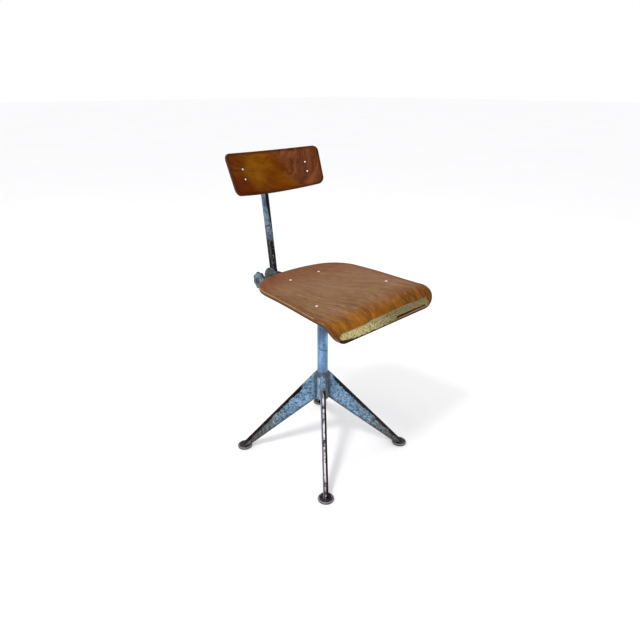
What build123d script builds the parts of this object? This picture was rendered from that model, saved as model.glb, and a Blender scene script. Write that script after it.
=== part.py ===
from build123d import *
import math
import os

# Drafting chair on a four-legged swivel base. Millimetres, +Z up, seat facing -Y.
# Everything is modelled about the column's axis (x = y = 0, floor at z = 0) and moved at
# the end, so that the origin is the centre of the footprint box on the floor.

# ---------------------------------------------------------------- driving dimensions
# Base
LEG_COUNT = 4
FIRST_LEG_ANGLE = -41.3          # of the front left leg, anticlockwise from +X
LEG_NAMES = ["front_left", "rear_left", "rear_right", "front_right"]
FOOT_RADIUS = 237.0              # column axis to the middle of a foot disc
FOOT_DISC_RADIUS = 21.5
FOOT_DISC_THICKNESS = 6.0
FOOT_DISC_RECESS = 1.2           # depth of the pressed middle, where the leg stands
FOOT_DISC_CHAMFER = 1.5
FOOT_DISC_RIM = 4.0              # from the outside to the recess's sloping wall
LEG_WIDTH = 14.0                 # across the folded sheet
LEG_SHEET = 2.0
LEG_TOP_HEIGHT = 256.0           # flat shoulder of the leg at the hub
LEG_RIDGE_SLOPE = 1.105          # fall of the ridge per mm of radius
LEG_BOTTOM_HEIGHT = 173.0        # lower edge of the leg at the hub
LEG_TOE_IN = 225.0               # radius where the lower edge meets the disc
LEG_TOE_OUT = 240.0              # radius of the leg's outer end
LEG_TOE_HEIGHT = 17.0
LEG_SHOULDER_RADIUS = 14.0

COLUMN_RADIUS = 15.0
COLUMN_BORE_RADIUS = 12.8
COLUMN_BOTTOM = 170.0
COLUMN_TOP = 408.0
HUB_RADIUS = 17.5
HUB_BEAD = 3.0                   # weld bead round the column at the hub's top

# Swivel and height
SPINDLE_RADIUS = 11.0
SPINDLE_BORE_RADIUS = 7.5
RUNNING_CLEARANCE = 0.05
BUSH_LENGTH = 40.0
BUSH_FLANGE_RADIUS = 17.0
BUSH_FLANGE = 3.0
WASHER_THICKNESS = 2.0
COLLAR_RADIUS = 22.0
COLLAR_HEIGHT = 18.0
COLLAR_SLIT = 2.0
COLLAR_LUG = (9.0, 9.0)          # half width, and reach beyond the collar
SCREW_RADIUS = 2.5
HEIGHT_DOWN = 25.0
HEIGHT_UP = 90.0
PART_GAP = 0.3                   # least gap between parts that pass each other

# Seat
SEAT_TOP = 528.0                 # top of the plywood in the middle
SEAT_PLY = 11.0
SEAT_REAR = 142.0                # rear edge on the centreline
SEAT_FRONT_FACE = -232.0
SEAT_ROLL_RADIUS = 43.0          # outside radius of the rolled front edge
SEAT_LIP_BOTTOM = 480.0
SEAT_HALF_WIDTH = 187.0          # at the front face
SEAT_TAPER = 0.08                # loss of half width per mm towards the rear
SEAT_REAR_RADIUS = 292.0         # bow of the rear edge
SEAT_REAR_CHORD = 158.0          # half the chord that sets how far the rear edge bows
SEAT_REAR_CORNER = 107.0
SEAT_FRONT_CORNER = 32.0
SEAT_LIP_CORNER = 38.0
DISH_REAR = 6.0                  # rise of the sides at the rear half
DISH_FRONT = 0.5                 # rise of the sides where the front edge starts to roll
RIVET_FRONT = (127.4, -112.5)
RIVET_REAR = (52.0, 71.5)
RIVET_HEAD_RADIUS = 3.6
RIVET_SHANK_RADIUS = 2.5
RIVET_RECESS = 0.6               # a head's lower face below the plywood's top
RIVET_DOME = 0.8
RIVET_CLOSING = 2.0              # a closing head's lowest point below the crossbar
RIVET_CLOSING_RADIUS = 4.0
THROUGH = 60.0                   # long enough for a cutter to pass through

# Seat frame
SPINE_WIDTH = 22.0
SPINE_SHEET = 2.5
SPINE_FRONT = -125.0
SPINE_WALL = 38.0                # depth of the folded channel
FORK_START = 118.0               # where the channel's top ends and its walls run on
EAR_RADIUS = 16.0
CROSSBAR_DEPTH = 30.0            # front to back
CROSSBAR_SHEET = 3.0
CROSSBAR_FLANGE = 9.0
GLUE_LINE = 0.05                 # felt-thin gap between the plywood and the crossbars
HUB_PLATE = (84.0, 72.0, 4.0)
HUB_TUBE_RADIUS = 17.0

# Back clamp
PIVOT_Y = 207.0
PIVOT_Z = 492.0
RECLINE = 7.4                    # of the post, from upright
BOLT_RADIUS = 4.0
SIDE_DISC_RADIUS = 29.5          # pressed disc against the right ear
SIDE_DISC = 4.0
SPACER_LENGTH = 22.0
SPACER_RADIUS = 9.0
KNOB_WASHER = 2.0
KNOB_BOSS = 10.0
KNOB_THICKNESS = 10.0
KNOB_RADIUS = 24.8
KNOB_LOBE = 1.5                  # height of the lobes over the mean radius
KNOB_LOBES = 8
KNOB_PHASE = 22.5

# Post
POST_WIDTH = 12.0
POST_DEPTH = 21.0
POST_SHEET = 2.5
POST_DOWN = 85.0                 # travel of the post into the clamp
POST_UP = 10.0
SLOT_RADIUS = 4.4
POST_TAIL = 24.0                 # below the bolt
BLOCK_WALL = 4.5                 # of the clamp block, before and behind the post
BLOCK_HEIGHT = 32.0
TONGUE_TOP = 100.0               # of the block's guide inside the post, above the bolt
POST_PIN_Z = 795.0               # height of the backrest's pivot pin

# Backrest
BACK_Y = 193.2                   # middle of the front surface
BACK_Z = 795.0
BACK_RECLINE = 22.0
BACK_RADIUS = 445.0
BACK_HALF_ARC = 155.7            # at half height
BACK_TAPER = 3.3                 # gain of the half arc from there to the top, and loss to the bottom
BACK_HALF_HEIGHT = 53.0          # at the ends
BACK_TOP_CROWN = 5.7             # rise of the top edge towards the middle
BACK_BOTTOM_CROWN = 1.5
BACK_PLY = 7.0
BACK_CORNER = 18.0
BACK_RIVET_ARC = 107.8
BACK_RIVET_HEIGHT = 13.0
BACK_RECESS = 0.8                # depth of the rivets' counterbores, and their extra radius
OUTLINE_NEAR = 0.8 * BACK_RADIUS  # the outline is cast from here
OUTLINE_FAR = 1.1 * BACK_RADIUS   # to here, past the bent sheet
BRACKET_HALF_ARC = 120.0
BRACKET_HALF_HEIGHT = 23.0
BRACKET_SHEET = 3.0
PIN_RADIUS = 3.0

BASE = (Align.CENTER, Align.CENTER, Align.MIN)
parts = {}


def ring(outer, inner, bottom, top):
    """Upright tube about the column's axis."""
    height = top - bottom
    middle = Pos(0, 0, (top + bottom) / 2)
    return middle * (Cylinder(outer, height) - Cylinder(inner, height))


def cross_rod(radius, x_from, x_to, y, z):
    """Rod along X between two places."""
    place = Pos((x_from + x_to) / 2, y, z) * Rot(0, 90, 0)
    return place * Cylinder(radius, abs(x_to - x_from))


def slab(x, y, z):
    """Box between (low, high) pairs."""
    size = (x[1] - x[0], y[1] - y[0], z[1] - z[0])
    middle = ((x[0] + x[1]) / 2, (y[0] + y[1]) / 2, (z[0] + z[1]) / 2)
    return Pos(*middle) * Box(*size)


# ---------------------------------------------------------------- base
def leg_profile():
    """Side view of a leg, with radius along X: shoulder, straight ridge, blunt toe, lower edge."""
    inside_hub = HUB_RADIUS - 7.5
    landing = FOOT_DISC_THICKNESS - FOOT_DISC_RECESS
    toe_top = (LEG_TOE_OUT - 3.0, LEG_TOE_HEIGHT)
    shoulder = (toe_top[0] - (LEG_TOP_HEIGHT - LEG_TOE_HEIGHT) / LEG_RIDGE_SLOPE, LEG_TOP_HEIGHT)
    lower_slope = (LEG_BOTTOM_HEIGHT - landing) / (LEG_TOE_IN - HUB_RADIUS)
    lower_start = LEG_BOTTOM_HEIGHT + lower_slope * (HUB_RADIUS - inside_hub)
    outline = Polyline((inside_hub, LEG_TOP_HEIGHT), shoulder, toe_top,
                       (LEG_TOE_OUT, LEG_TOE_HEIGHT - 5.0), (LEG_TOE_OUT, landing),
                       (LEG_TOE_IN, landing), (inside_hub, lower_start), close=True)
    side = make_face(outline)
    corner = side.vertices().sort_by_distance(Vector(shoulder[0], shoulder[1], 0))[0]
    return Plane.XZ * fillet(corner, LEG_SHOULDER_RADIUS)


def ridged_bar(width):
    """Bar with the leg's side view and a rounded ridge."""
    bar = extrude(leg_profile(), width / 2, both=True)
    ridge = bar.edges().filter_by(GeomType.LINE).sort_by(SortBy.LENGTH)[-4:].sort_by(Axis.Z)[-2:]
    return fillet(ridge, width / 2 - 1.0)


def leg(angle):
    """Folded sheet leg: an upturned channel with a rounded ridge, open underneath."""
    slope = math.atan(LEG_RIDGE_SLOPE)
    inwards = Pos(-LEG_SHEET * math.sin(slope), 0, -LEG_SHEET * math.cos(slope))
    hollow = inwards * ridged_bar(LEG_WIDTH - 2 * LEG_SHEET)
    folded = ridged_bar(LEG_WIDTH) - hollow - Pos(0, 0, LEG_TOP_HEIGHT) * Cylinder(HUB_RADIUS, 400)
    return Rot(0, 0, angle) * folded


def foot_disc(angle):
    """Pressed steel disc with chamfered edges and a recess in which the leg stands."""
    r = FOOT_DISC_RADIUS
    t = FOOT_DISC_THICKNESS
    recess = t - FOOT_DISC_RECESS
    c = FOOT_DISC_CHAMFER
    rim = r - FOOT_DISC_RIM
    outline = Polyline((0, 0), (r - c, 0), (r, c), (r, t - c), (r - c, t), (rim, t),
                       (rim - FOOT_DISC_RECESS, recess), (0, recess), close=True)
    disc = revolve(make_face(Plane.XZ * outline), Axis.Z)
    return Rot(0, 0, angle) * Pos(FOOT_RADIUS, 0, 0) * disc


def build_base():
    """Fixed base: legs, feet, hub socket and column."""
    for index in range(LEG_COUNT):
        angle = FIRST_LEG_ANGLE + index * 360 / LEG_COUNT
        parts["leg_" + LEG_NAMES[index]] = leg(angle)
        parts["foot_disc_" + LEG_NAMES[index]] = foot_disc(angle)
    parts["hub_socket"] = ring(HUB_RADIUS, COLUMN_RADIUS, COLUMN_BOTTOM, LEG_TOP_HEIGHT)
    parts["column_tube"] = ring(COLUMN_RADIUS, COLUMN_BORE_RADIUS, COLUMN_BOTTOM, COLUMN_TOP)
    low = LEG_TOP_HEIGHT
    bead = Polyline((COLUMN_RADIUS, low), (HUB_RADIUS, low), (HUB_RADIUS - 0.4, low + 0.6 * HUB_BEAD),
                    (COLUMN_RADIUS, low + HUB_BEAD), close=True)
    parts["hub_weld_bead"] = revolve(make_face(Plane.XZ * bead), Axis.Z)


# ---------------------------------------------------------------- swivel and height
FLANGE_TOP = COLUMN_TOP + BUSH_FLANGE
WASHER_TOP = FLANGE_TOP + WASHER_THICKNESS
COLLAR_BOTTOM = WASHER_TOP + RUNNING_CLEARANCE
COLLAR_TOP = COLLAR_BOTTOM + COLLAR_HEIGHT
HUB_TUBE_BOTTOM = COLLAR_TOP + HEIGHT_DOWN + PART_GAP
SPINE_TOP = SEAT_TOP - SEAT_PLY - CROSSBAR_SHEET
SPINE_BOTTOM = SPINE_TOP - SPINE_WALL
HUB_PLATE_BOTTOM = SPINE_BOTTOM - HUB_PLATE[2]
STOP_RING_HEIGHT = 4.0
SPINDLE_BOTTOM = COLUMN_TOP - BUSH_LENGTH - HEIGHT_UP - PART_GAP - STOP_RING_HEIGHT


def top_bush():
    """Flanged bush in the column's top, in which the spindle turns and slides."""
    bore = SPINDLE_RADIUS + RUNNING_CLEARANCE
    sleeve = ring(COLUMN_BORE_RADIUS, bore, COLUMN_TOP - BUSH_LENGTH, COLUMN_TOP)
    return sleeve + ring(BUSH_FLANGE_RADIUS, bore, COLUMN_TOP, FLANGE_TOP)


def stop_collar():
    """Split clamp collar that sets the height: it grips the spindle and turns on the washer."""
    half, reach = COLLAR_LUG
    lug_y = (COLLAR_RADIUS - 6.0, COLLAR_RADIUS + reach)
    lug_z = (COLLAR_BOTTOM + 2.0, COLLAR_TOP - 2.0)
    body = ring(COLLAR_RADIUS, 5.0, COLLAR_BOTTOM, COLLAR_TOP) + slab((-half, half), lug_y, lug_z)
    slit = slab((-COLLAR_SLIT / 2, COLLAR_SLIT / 2), (0, COLLAR_RADIUS + 12.0), (0, COLLAR_TOP + 5))
    bore = Pos(0, 0, COLLAR_TOP) * Cylinder(SPINDLE_RADIUS + RUNNING_CLEARANCE, 100)
    screw_hole = cross_rod(SCREW_RADIUS, -20, 20, COLLAR_RADIUS + 4.0, (lug_z[0] + lug_z[1]) / 2)
    return body - slit - bore - screw_hole


def collar_screw():
    """Clamp screw through the collar's two lugs, with a round head and a nut."""
    y = COLLAR_RADIUS + 4.0
    z = COLLAR_BOTTOM + COLLAR_HEIGHT / 2
    half = COLLAR_LUG[0]
    head = cross_rod(4.0, half, half + 5.0, y, z) - cross_rod(2.0, half + 2.5, half + 6.0, y, z)
    nut = Pos(-half - 2.0, y, z) * Rot(0, 90, 0) * extrude(RegularPolygon(4.4, 6), 2.0, both=True)
    return cross_rod(SCREW_RADIUS, -half - 5.5, half, y, z) + head + nut


def build_swivel():
    """Bush, washer, collar and the spindle that carries the seat."""
    bore = SPINDLE_RADIUS + RUNNING_CLEARANCE
    parts["column_bush"] = top_bush()
    parts["thrust_washer"] = ring(BUSH_FLANGE_RADIUS, bore, FLANGE_TOP, WASHER_TOP)
    parts["height_collar"] = stop_collar()
    parts["collar_screw"] = collar_screw()
    parts["spindle"] = ring(SPINDLE_RADIUS, SPINDLE_BORE_RADIUS, SPINDLE_BOTTOM, SPINE_BOTTOM)
    ring_top = SPINDLE_BOTTOM + STOP_RING_HEIGHT
    parts["spindle_stop_ring"] = ring(COLUMN_BORE_RADIUS - 0.1, SPINDLE_RADIUS, SPINDLE_BOTTOM, ring_top)
    parts["hub_tube"] = ring(HUB_TUBE_RADIUS, SPINDLE_RADIUS, HUB_TUBE_BOTTOM, HUB_PLATE_BOTTOM)
    plate = Pos(0, 0, HUB_PLATE_BOTTOM + HUB_PLATE[2] / 2) * Box(*HUB_PLATE)
    plate = fillet(plate.edges().filter_by(Axis.Z), 12.0)
    parts["hub_plate"] = plate - Pos(0, 0, HUB_PLATE_BOTTOM) * Cylinder(SPINDLE_RADIUS, 20)


# ---------------------------------------------------------------- seat
def dish(y):
    """Rise of the seat at its sides, at a place front to back."""
    front = SEAT_FRONT_FACE + SEAT_ROLL_RADIUS
    share = min(1.0, max(0.0, (y - front) / (-front)))
    return DISH_FRONT + (DISH_REAR - DISH_FRONT) * share * share * (3 - 2 * share)


def seat_point(x, run, depth):
    """Point of the plywood under (x, run): run goes from the rear over the rolled front edge.

    depth is measured down from the top face, square to the section through the middle.
    """
    side = (x / SEAT_HALF_WIDTH) ** 2
    roll_start = SEAT_FRONT_FACE + SEAT_ROLL_RADIUS
    radius = SEAT_ROLL_RADIUS - depth
    quarter = SEAT_ROLL_RADIUS * math.pi / 2
    if run >= roll_start:
        return (x, run, SEAT_TOP - depth + dish(run) * side)
    turned = min(roll_start - run, quarter) / SEAT_ROLL_RADIUS
    down = max(0.0, roll_start - run - quarter)
    y = roll_start - radius * math.sin(turned)
    z = SEAT_TOP - SEAT_ROLL_RADIUS + radius * math.cos(turned) - down
    return (x, y, z + DISH_FRONT * side * math.cos(turned))


def seat_skin(depth, runs, half_width):
    """Curved face at a depth below the top of the plywood."""
    across = [half_width * (i / 6 - 1) for i in range(13)]
    rows = [[seat_point(x, run, depth) for x in across] for run in runs]
    return Face.make_surface_from_array_of_points(rows, tol=0.01, min_deg=3, max_deg=3)


def layer(top_depth, bottom_depth, runs, half_width):
    """Solid between two depths of the seat's curved form."""
    top = seat_skin(top_depth, runs, half_width)
    bottom = seat_skin(bottom_depth, runs, half_width)
    top_wire = top.outer_wire()
    bottom_wire = bottom.outer_wire()
    sides = []
    for upper in top_wire.edges():
        lower = min(bottom_wire.edges(), key=lambda e: (e.center() - upper.center()).length)
        sides.append(Face.make_surface_from_curves(upper, lower))
    return Solid(Shell([top, bottom] + sides))


def seat_runs(start, end, steps):
    """Evenly spaced places along the run."""
    return [start + (end - start) * i / steps for i in range(steps + 1)]


def seat_outline():
    """Plan of the seat: tapered sides, a bowed rear edge and rounded corners."""
    front = SEAT_FRONT_FACE - 1.0
    rise = SEAT_REAR_RADIUS - math.sqrt(SEAT_REAR_RADIUS ** 2 - SEAT_REAR_CHORD ** 2)
    corner_y = SEAT_REAR - rise
    corner_x = SEAT_HALF_WIDTH - SEAT_TAPER * (corner_y - SEAT_FRONT_FACE)
    rear = ThreePointArc((corner_x, corner_y), (0, SEAT_REAR), (-corner_x, corner_y))
    sides = Polyline((-corner_x, corner_y), (-SEAT_HALF_WIDTH, front), (SEAT_HALF_WIDTH, front),
                     (corner_x, corner_y))
    plan = make_face(rear + sides)
    plan = fillet(plan.vertices().group_by(Axis.Y)[-1], SEAT_REAR_CORNER)
    return fillet(plan.vertices().group_by(Axis.Y)[0], SEAT_FRONT_CORNER)


def lip_trim():
    """What is cut off under the rolled front edge, leaving its lower corners round."""
    width = 2 * SEAT_HALF_WIDTH - 1.0
    below = slab((-230, 230), (SEAT_FRONT_FACE - 20, SEAT_FRONT_FACE + 60), (400, SEAT_LIP_BOTTOM + 20))
    front_view = Pos(0, 0, SEAT_LIP_BOTTOM + 60) * (Plane.XZ * RectangleRounded(width, 120, SEAT_LIP_CORNER))
    return below - extrude(front_view, 400, both=True)


def rivet_places():
    """The four rivets of the seat: (x, y, top face's height)."""
    pairs = [(sign * x, y) for x, y in (RIVET_FRONT, RIVET_REAR) for sign in (-1, 1)]
    return [seat_point(x, y, 0) for x, y in pairs]


def seat_shell():
    """Moulded plywood seat with counterbored rivet holes."""
    roll_start = SEAT_FRONT_FACE + SEAT_ROLL_RADIUS
    roll_end = roll_start - SEAT_ROLL_RADIUS * math.pi / 2
    sheet = layer(0, SEAT_PLY, seat_runs(SEAT_REAR + 12, roll_end - 14, 60), SEAT_HALF_WIDTH + 12)
    shell = (Pos(0, 0, SEAT_TOP) * extrude(seat_outline(), 100, both=True)) & sheet
    shell = shell - lip_trim()
    for x, y, z in rivet_places():
        shell = shell - Pos(x, y, z) * Cylinder(RIVET_HEAD_RADIUS, 2 * RIVET_RECESS)
        shell = shell - Pos(x, y, z) * Cylinder(RIVET_SHANK_RADIUS, THROUGH)
    return shell


def seat_rivets():
    """Four rivets, each with a low domed head, a shank and a closing head below the crossbar."""
    length = SEAT_PLY + CROSSBAR_SHEET + RIVET_CLOSING
    dome = Cone(RIVET_HEAD_RADIUS, RIVET_HEAD_RADIUS - 1.6, RIVET_DOME, align=BASE)
    head = Cylinder(RIVET_HEAD_RADIUS, 2 * RIVET_RECESS) + Pos(0, 0, RIVET_RECESS) * dome
    shank = Cylinder(RIVET_SHANK_RADIUS, length, align=BASE)
    closing = Cylinder(RIVET_CLOSING_RADIUS, RIVET_CLOSING - 0.2, align=BASE)
    rivet = head + Pos(0, 0, -length) * (shank + closing)
    group = [Pos(x, y, z) * rivet for x, y, z in rivet_places()]
    return Compound(group)


def crossbar(half_length, y):
    """Folded crossbar under the plywood, notched over the spine."""
    half = CROSSBAR_DEPTH / 2
    lips = half - SPINE_SHEET
    plate_bottom = SEAT_PLY + CROSSBAR_SHEET
    block = layer(SEAT_PLY + GLUE_LINE, plate_bottom + CROSSBAR_FLANGE, seat_runs(y + half, y - half, 6),
                  half_length)
    hollow = layer(plate_bottom, plate_bottom + 30, seat_runs(y + lips, y - lips, 6), half_length + 5)
    bar = Part() + block - hollow
    bar = bar - slab((-SPINE_WIDTH / 2, SPINE_WIDTH / 2), (y - 20, y + 20), (SPINE_TOP - 40, SPINE_TOP))
    for x, rivet_y, z in rivet_places():
        bar = bar - Pos(x, rivet_y, z) * Cylinder(RIVET_SHANK_RADIUS, THROUGH)
    return bar


def seat_spine():
    """Folded channel under the seat whose walls run on as a fork with two round ears."""
    half = SPINE_WIDTH / 2
    inner = half - SPINE_SHEET
    side = make_face(Polyline((SPINE_FRONT, SPINE_BOTTOM), (SPINE_FRONT, SPINE_TOP),
                              (FORK_START, SPINE_TOP), (PIVOT_Y, PIVOT_Z + EAR_RADIUS),
                              (PIVOT_Y, PIVOT_Z - EAR_RADIUS), close=True))
    bar = extrude(Plane.YZ * side, half, both=True)
    folds = bar.edges().filter_by(Axis.Y).group_by(Axis.Z)[-1]
    bar = fillet(folds, SPINE_SHEET)
    nose = bar.edges().filter_by(Axis.X).group_by(Axis.Y)[0].sort_by(Axis.Z)[0]
    bar = fillet(nose, 12.0)
    bar = bar + cross_rod(EAR_RADIUS, -half, half, PIVOT_Y, PIVOT_Z)
    beyond = PIVOT_Y + 2 * EAR_RADIUS
    below = (SPINE_BOTTOM - 20, SPINE_TOP - SPINE_SHEET)
    bar = bar - slab((-inner, inner), (SPINE_FRONT - 5, beyond), below)
    bar = bar - slab((-inner, inner), (FORK_START, beyond), (below[1] - 1, SPINE_TOP + 20))
    return bar - cross_rod(BOLT_RADIUS, -40, 40, PIVOT_Y, PIVOT_Z)


def build_seat():
    """Plywood seat on its frame."""
    parts["seat_shell"] = seat_shell()
    parts["seat_rivets"] = seat_rivets()
    parts["crossbar_front"] = crossbar(RIVET_FRONT[0] + 18.0, RIVET_FRONT[1])
    parts["crossbar_rear"] = crossbar(RIVET_REAR[0] + 18.0, RIVET_REAR[1])
    parts["seat_spine"] = seat_spine()


# ---------------------------------------------------------------- back clamp
EAR_FACE = SPINE_WIDTH / 2
DISC_FACE = EAR_FACE + SIDE_DISC
SPACER_END = DISC_FACE + SPACER_LENGTH
WASHER_NEAR = SPACER_END + RUNNING_CLEARANCE
WASHER_FAR = WASHER_NEAR + KNOB_WASHER
KNOB_NEAR = WASHER_FAR + RUNNING_CLEARANCE
KNOB_BODY = KNOB_NEAR + KNOB_BOSS
KNOB_FAR = KNOB_BODY + KNOB_THICKNESS


def along_post(y, z):
    """Place in the post's own frame: y square to it towards the rear, z up along it."""
    return Pos(0, PIVOT_Y, PIVOT_Z) * Rot(-RECLINE, 0, 0) * Pos(0, y, z)


def clamp_block():
    """Block between the ears, round the post, with a guide tongue up inside the post's channel."""
    half = SPINE_WIDTH / 2 - SPINE_SHEET - 0.1
    body = Box(2 * half, POST_DEPTH + 2 * BLOCK_WALL, BLOCK_HEIGHT)
    body = fillet(body.edges().filter_by(Axis.X), 4.0)
    body = body - Box(POST_WIDTH + 0.2, POST_DEPTH + 0.2, THROUGH)
    inside = POST_WIDTH / 2 - POST_SHEET - PART_GAP
    front = POST_SHEET + PART_GAP - POST_DEPTH / 2
    body = body + slab((-inside, inside), (front, POST_DEPTH / 2 + 1), (-BLOCK_HEIGHT / 2, BLOCK_HEIGHT / 2))
    body = body + slab((-inside, inside), (front, POST_DEPTH / 2 - PART_GAP), (0, TONGUE_TOP))
    return along_post(0, 0) * body - cross_rod(BOLT_RADIUS + RUNNING_CLEARANCE, -40, 40, PIVOT_Y, PIVOT_Z)


def pivot_bolt():
    """Bolt through both ears: domed head on the left, thread for the knob on the right."""
    shank = cross_rod(BOLT_RADIUS, -KNOB_FAR + 4.0, EAR_FACE, PIVOT_Y, PIVOT_Z)
    head = Pos(EAR_FACE, PIVOT_Y, PIVOT_Z) * Rot(0, 90, 0) * Cylinder(9.0, 5.0, align=BASE)
    return shank + fillet(head.edges().group_by(Axis.X)[-1], 3.5)


def lobed_knob():
    """Cast hand knob with round lobes, a boss towards the ear and a recess round the bolt."""
    count = KNOB_LOBES * 4
    points = []
    for i in range(count):
        angle = 2 * math.pi * i / count
        reach = KNOB_RADIUS + KNOB_LOBE * math.cos(KNOB_LOBES * angle)
        points.append((reach * math.cos(angle), reach * math.sin(angle)))
    body = extrude(make_face(Spline(*points, periodic=True)), KNOB_THICKNESS)
    body = fillet(body.edges(), 2.5)
    body = body - Pos(0, 0, KNOB_THICKNESS) * Cylinder(10.5, 5.0)
    body = body + Pos(0, 0, -KNOB_BOSS) * Cylinder(9.0, KNOB_BOSS, align=BASE)
    body = body - Cylinder(BOLT_RADIUS + RUNNING_CLEARANCE, 100)
    return Pos(-KNOB_BODY, PIVOT_Y, PIVOT_Z) * Rot(0, -90, 0) * Rot(0, 0, KNOB_PHASE) * body


def sleeve(radius, near, far, clearance):
    """Ring on the bolt, between two distances to the right of the seat's centre."""
    outer = cross_rod(radius, -near, -far, PIVOT_Y, PIVOT_Z)
    return outer - cross_rod(BOLT_RADIUS + clearance, 0, -100, PIVOT_Y, PIVOT_Z)


def build_clamp():
    """Everything on the back's pivot bolt."""
    parts["clamp_block"] = clamp_block()
    parts["pivot_bolt"] = pivot_bolt()
    disc = sleeve(SIDE_DISC_RADIUS, EAR_FACE, DISC_FACE, 0)
    rim = disc.edges().filter_by(GeomType.CIRCLE).group_by(Axis.X)[0].sort_by(SortBy.RADIUS)[-1]
    parts["clamp_disc"] = fillet(rim, 2.5)
    parts["bolt_spacer"] = sleeve(SPACER_RADIUS, DISC_FACE, SPACER_END, 0)
    parts["knob_washer"] = sleeve(10.0, WASHER_NEAR, WASHER_FAR, RUNNING_CLEARANCE)
    parts["tilt_knob"] = lobed_knob()


# ---------------------------------------------------------------- post and backrest
PIN_REACH = (POST_PIN_Z - PIVOT_Z) / math.cos(math.radians(RECLINE))
PIN_Y = PIVOT_Y + PIN_REACH * math.sin(math.radians(RECLINE))


def back_post():
    """Folded channel, open to the rear, with a long slot for the bolt and a hole for the pin."""
    low = -POST_TAIL
    high = PIN_REACH + POST_DEPTH / 2
    bar = slab((-POST_WIDTH / 2, POST_WIDTH / 2), (-POST_DEPTH / 2, POST_DEPTH / 2), (low, high))
    bar = fillet(bar.edges().filter_by(Axis.X), POST_DEPTH / 2 - 0.5)
    folds = bar.edges().filter_by(Axis.Z).group_by(Axis.Y)[0]
    bar = fillet(folds, 1.5)
    inner = POST_WIDTH / 2 - POST_SHEET
    bar = bar - slab((-inner, inner), (POST_SHEET - POST_DEPTH / 2, POST_DEPTH), (low - 5, high + 5))
    length = POST_UP + POST_DOWN + 2 * SLOT_RADIUS
    opening = Rot(0, 0, 90) * SlotOverall(length, 2 * SLOT_RADIUS)
    slot = Plane.YZ * Pos(0, (POST_DOWN - POST_UP) / 2) * opening
    bar = bar - extrude(slot, POST_WIDTH, both=True)
    bar = bar - cross_rod(PIN_RADIUS + RUNNING_CLEARANCE, -20, 20, 0, PIN_REACH)
    return along_post(0, 0) * bar


def in_backrest(shape):
    """Move a shape from the backrest's own frame, whose origin is its front face's middle."""
    return Pos(0, BACK_Y, BACK_Z) * Rot(-BACK_RECLINE, 0, 0) * shape


def pin_in_backrest():
    """The pin's place in the backrest's own frame: (towards the rear, up)."""
    tilt = math.radians(BACK_RECLINE)
    dy = PIN_Y - BACK_Y
    dz = POST_PIN_Z - BACK_Z
    return (dy * math.cos(tilt) - dz * math.sin(tilt), dy * math.sin(tilt) + dz * math.cos(tilt))


def back_outline(distance):
    """Outline of the plywood, cast from the bend's axis onto an upright plane at a distance."""
    wide = distance * math.tan((BACK_HALF_ARC + BACK_TAPER) / BACK_RADIUS)
    narrow = distance * math.tan((BACK_HALF_ARC - BACK_TAPER) / BACK_RADIUS)
    high = BACK_HALF_HEIGHT
    top = ThreePointArc((-wide, high), (0, high + BACK_TOP_CROWN), (wide, high))
    bottom = ThreePointArc((narrow, -high), (0, -high - BACK_BOTTOM_CROWN), (-narrow, -high))
    sides = Line((wide, high), (narrow, -high)) + Line((-narrow, -high), (-wide, high))
    face = make_face(top + bottom + sides)
    plane = Plane(origin=(0, distance - BACK_RADIUS, 0), x_dir=(1, 0, 0), z_dir=(0, -1, 0))
    return plane * fillet(face.vertices(), BACK_CORNER)


def curved_plate(depth, thickness, half_arc, half_height, corner):
    """Plate bent about an upright axis in front of it, from depth behind the front face."""
    turn = half_arc / BACK_RADIUS
    near = BACK_RADIUS + depth
    far = near + thickness
    reach = 1.2 * far
    side = (reach * math.sin(turn), reach * math.cos(turn))
    wedge = make_face(Polyline((0, 0), side, (0, reach * 1.1), (-side[0], side[1]), (0, 0)))
    sector = (Circle(far) - Circle(near)) & wedge
    plate = Pos(0, -BACK_RADIUS, 0) * extrude(sector, half_height, both=True)
    corners = [e for e in plate.edges().filter_by(GeomType.LINE) if abs(e.length - thickness) < 0.01]
    return in_backrest(fillet(corners, corner))


def back_rivet_places():
    """Where the four backrest rivets stand, as (turn about the bend's axis, height)."""
    turn = math.degrees(BACK_RIVET_ARC / BACK_RADIUS)
    return [(side * turn, rise * BACK_RIVET_HEIGHT) for side in (-1, 1) for rise in (-1, 1)]


def back_rivet(place, radius, near, far):
    """Rod square to the bent plate, between two depths behind the front face."""
    turn, height = place
    middle = BACK_RADIUS + (near + far) / 2
    rod = Pos(0, middle, height) * Rot(90, 0, 0) * Cylinder(radius, far - near)
    return in_backrest(Pos(0, -BACK_RADIUS, 0) * Rot(0, 0, -turn) * rod)


def backrest_shell():
    """Moulded plywood backrest with counterbored rivet holes."""
    tube = Circle(BACK_RADIUS + BACK_PLY) - Circle(BACK_RADIUS)
    bent = Pos(0, -BACK_RADIUS, 0) * extrude(tube, 2 * BACK_HALF_HEIGHT, both=True)
    cut = loft([back_outline(OUTLINE_NEAR), back_outline(OUTLINE_FAR)], ruled=True)
    shell = in_backrest(bent & cut)
    for place in back_rivet_places():
        shell = shell - back_rivet(place, RIVET_HEAD_RADIUS + BACK_RECESS, -THROUGH, BACK_RECESS)
        shell = shell - back_rivet(place, RIVET_SHANK_RADIUS, -THROUGH, THROUGH)
    return shell


def back_strap():
    """Steel strap riveted behind the plywood."""
    strap = curved_plate(BACK_PLY, BRACKET_SHEET, BRACKET_HALF_ARC, BRACKET_HALF_HEIGHT, 8.0)
    for place in back_rivet_places():
        strap = strap - back_rivet(place, RIVET_SHANK_RADIUS, -THROUGH, THROUGH)
    return strap


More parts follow.
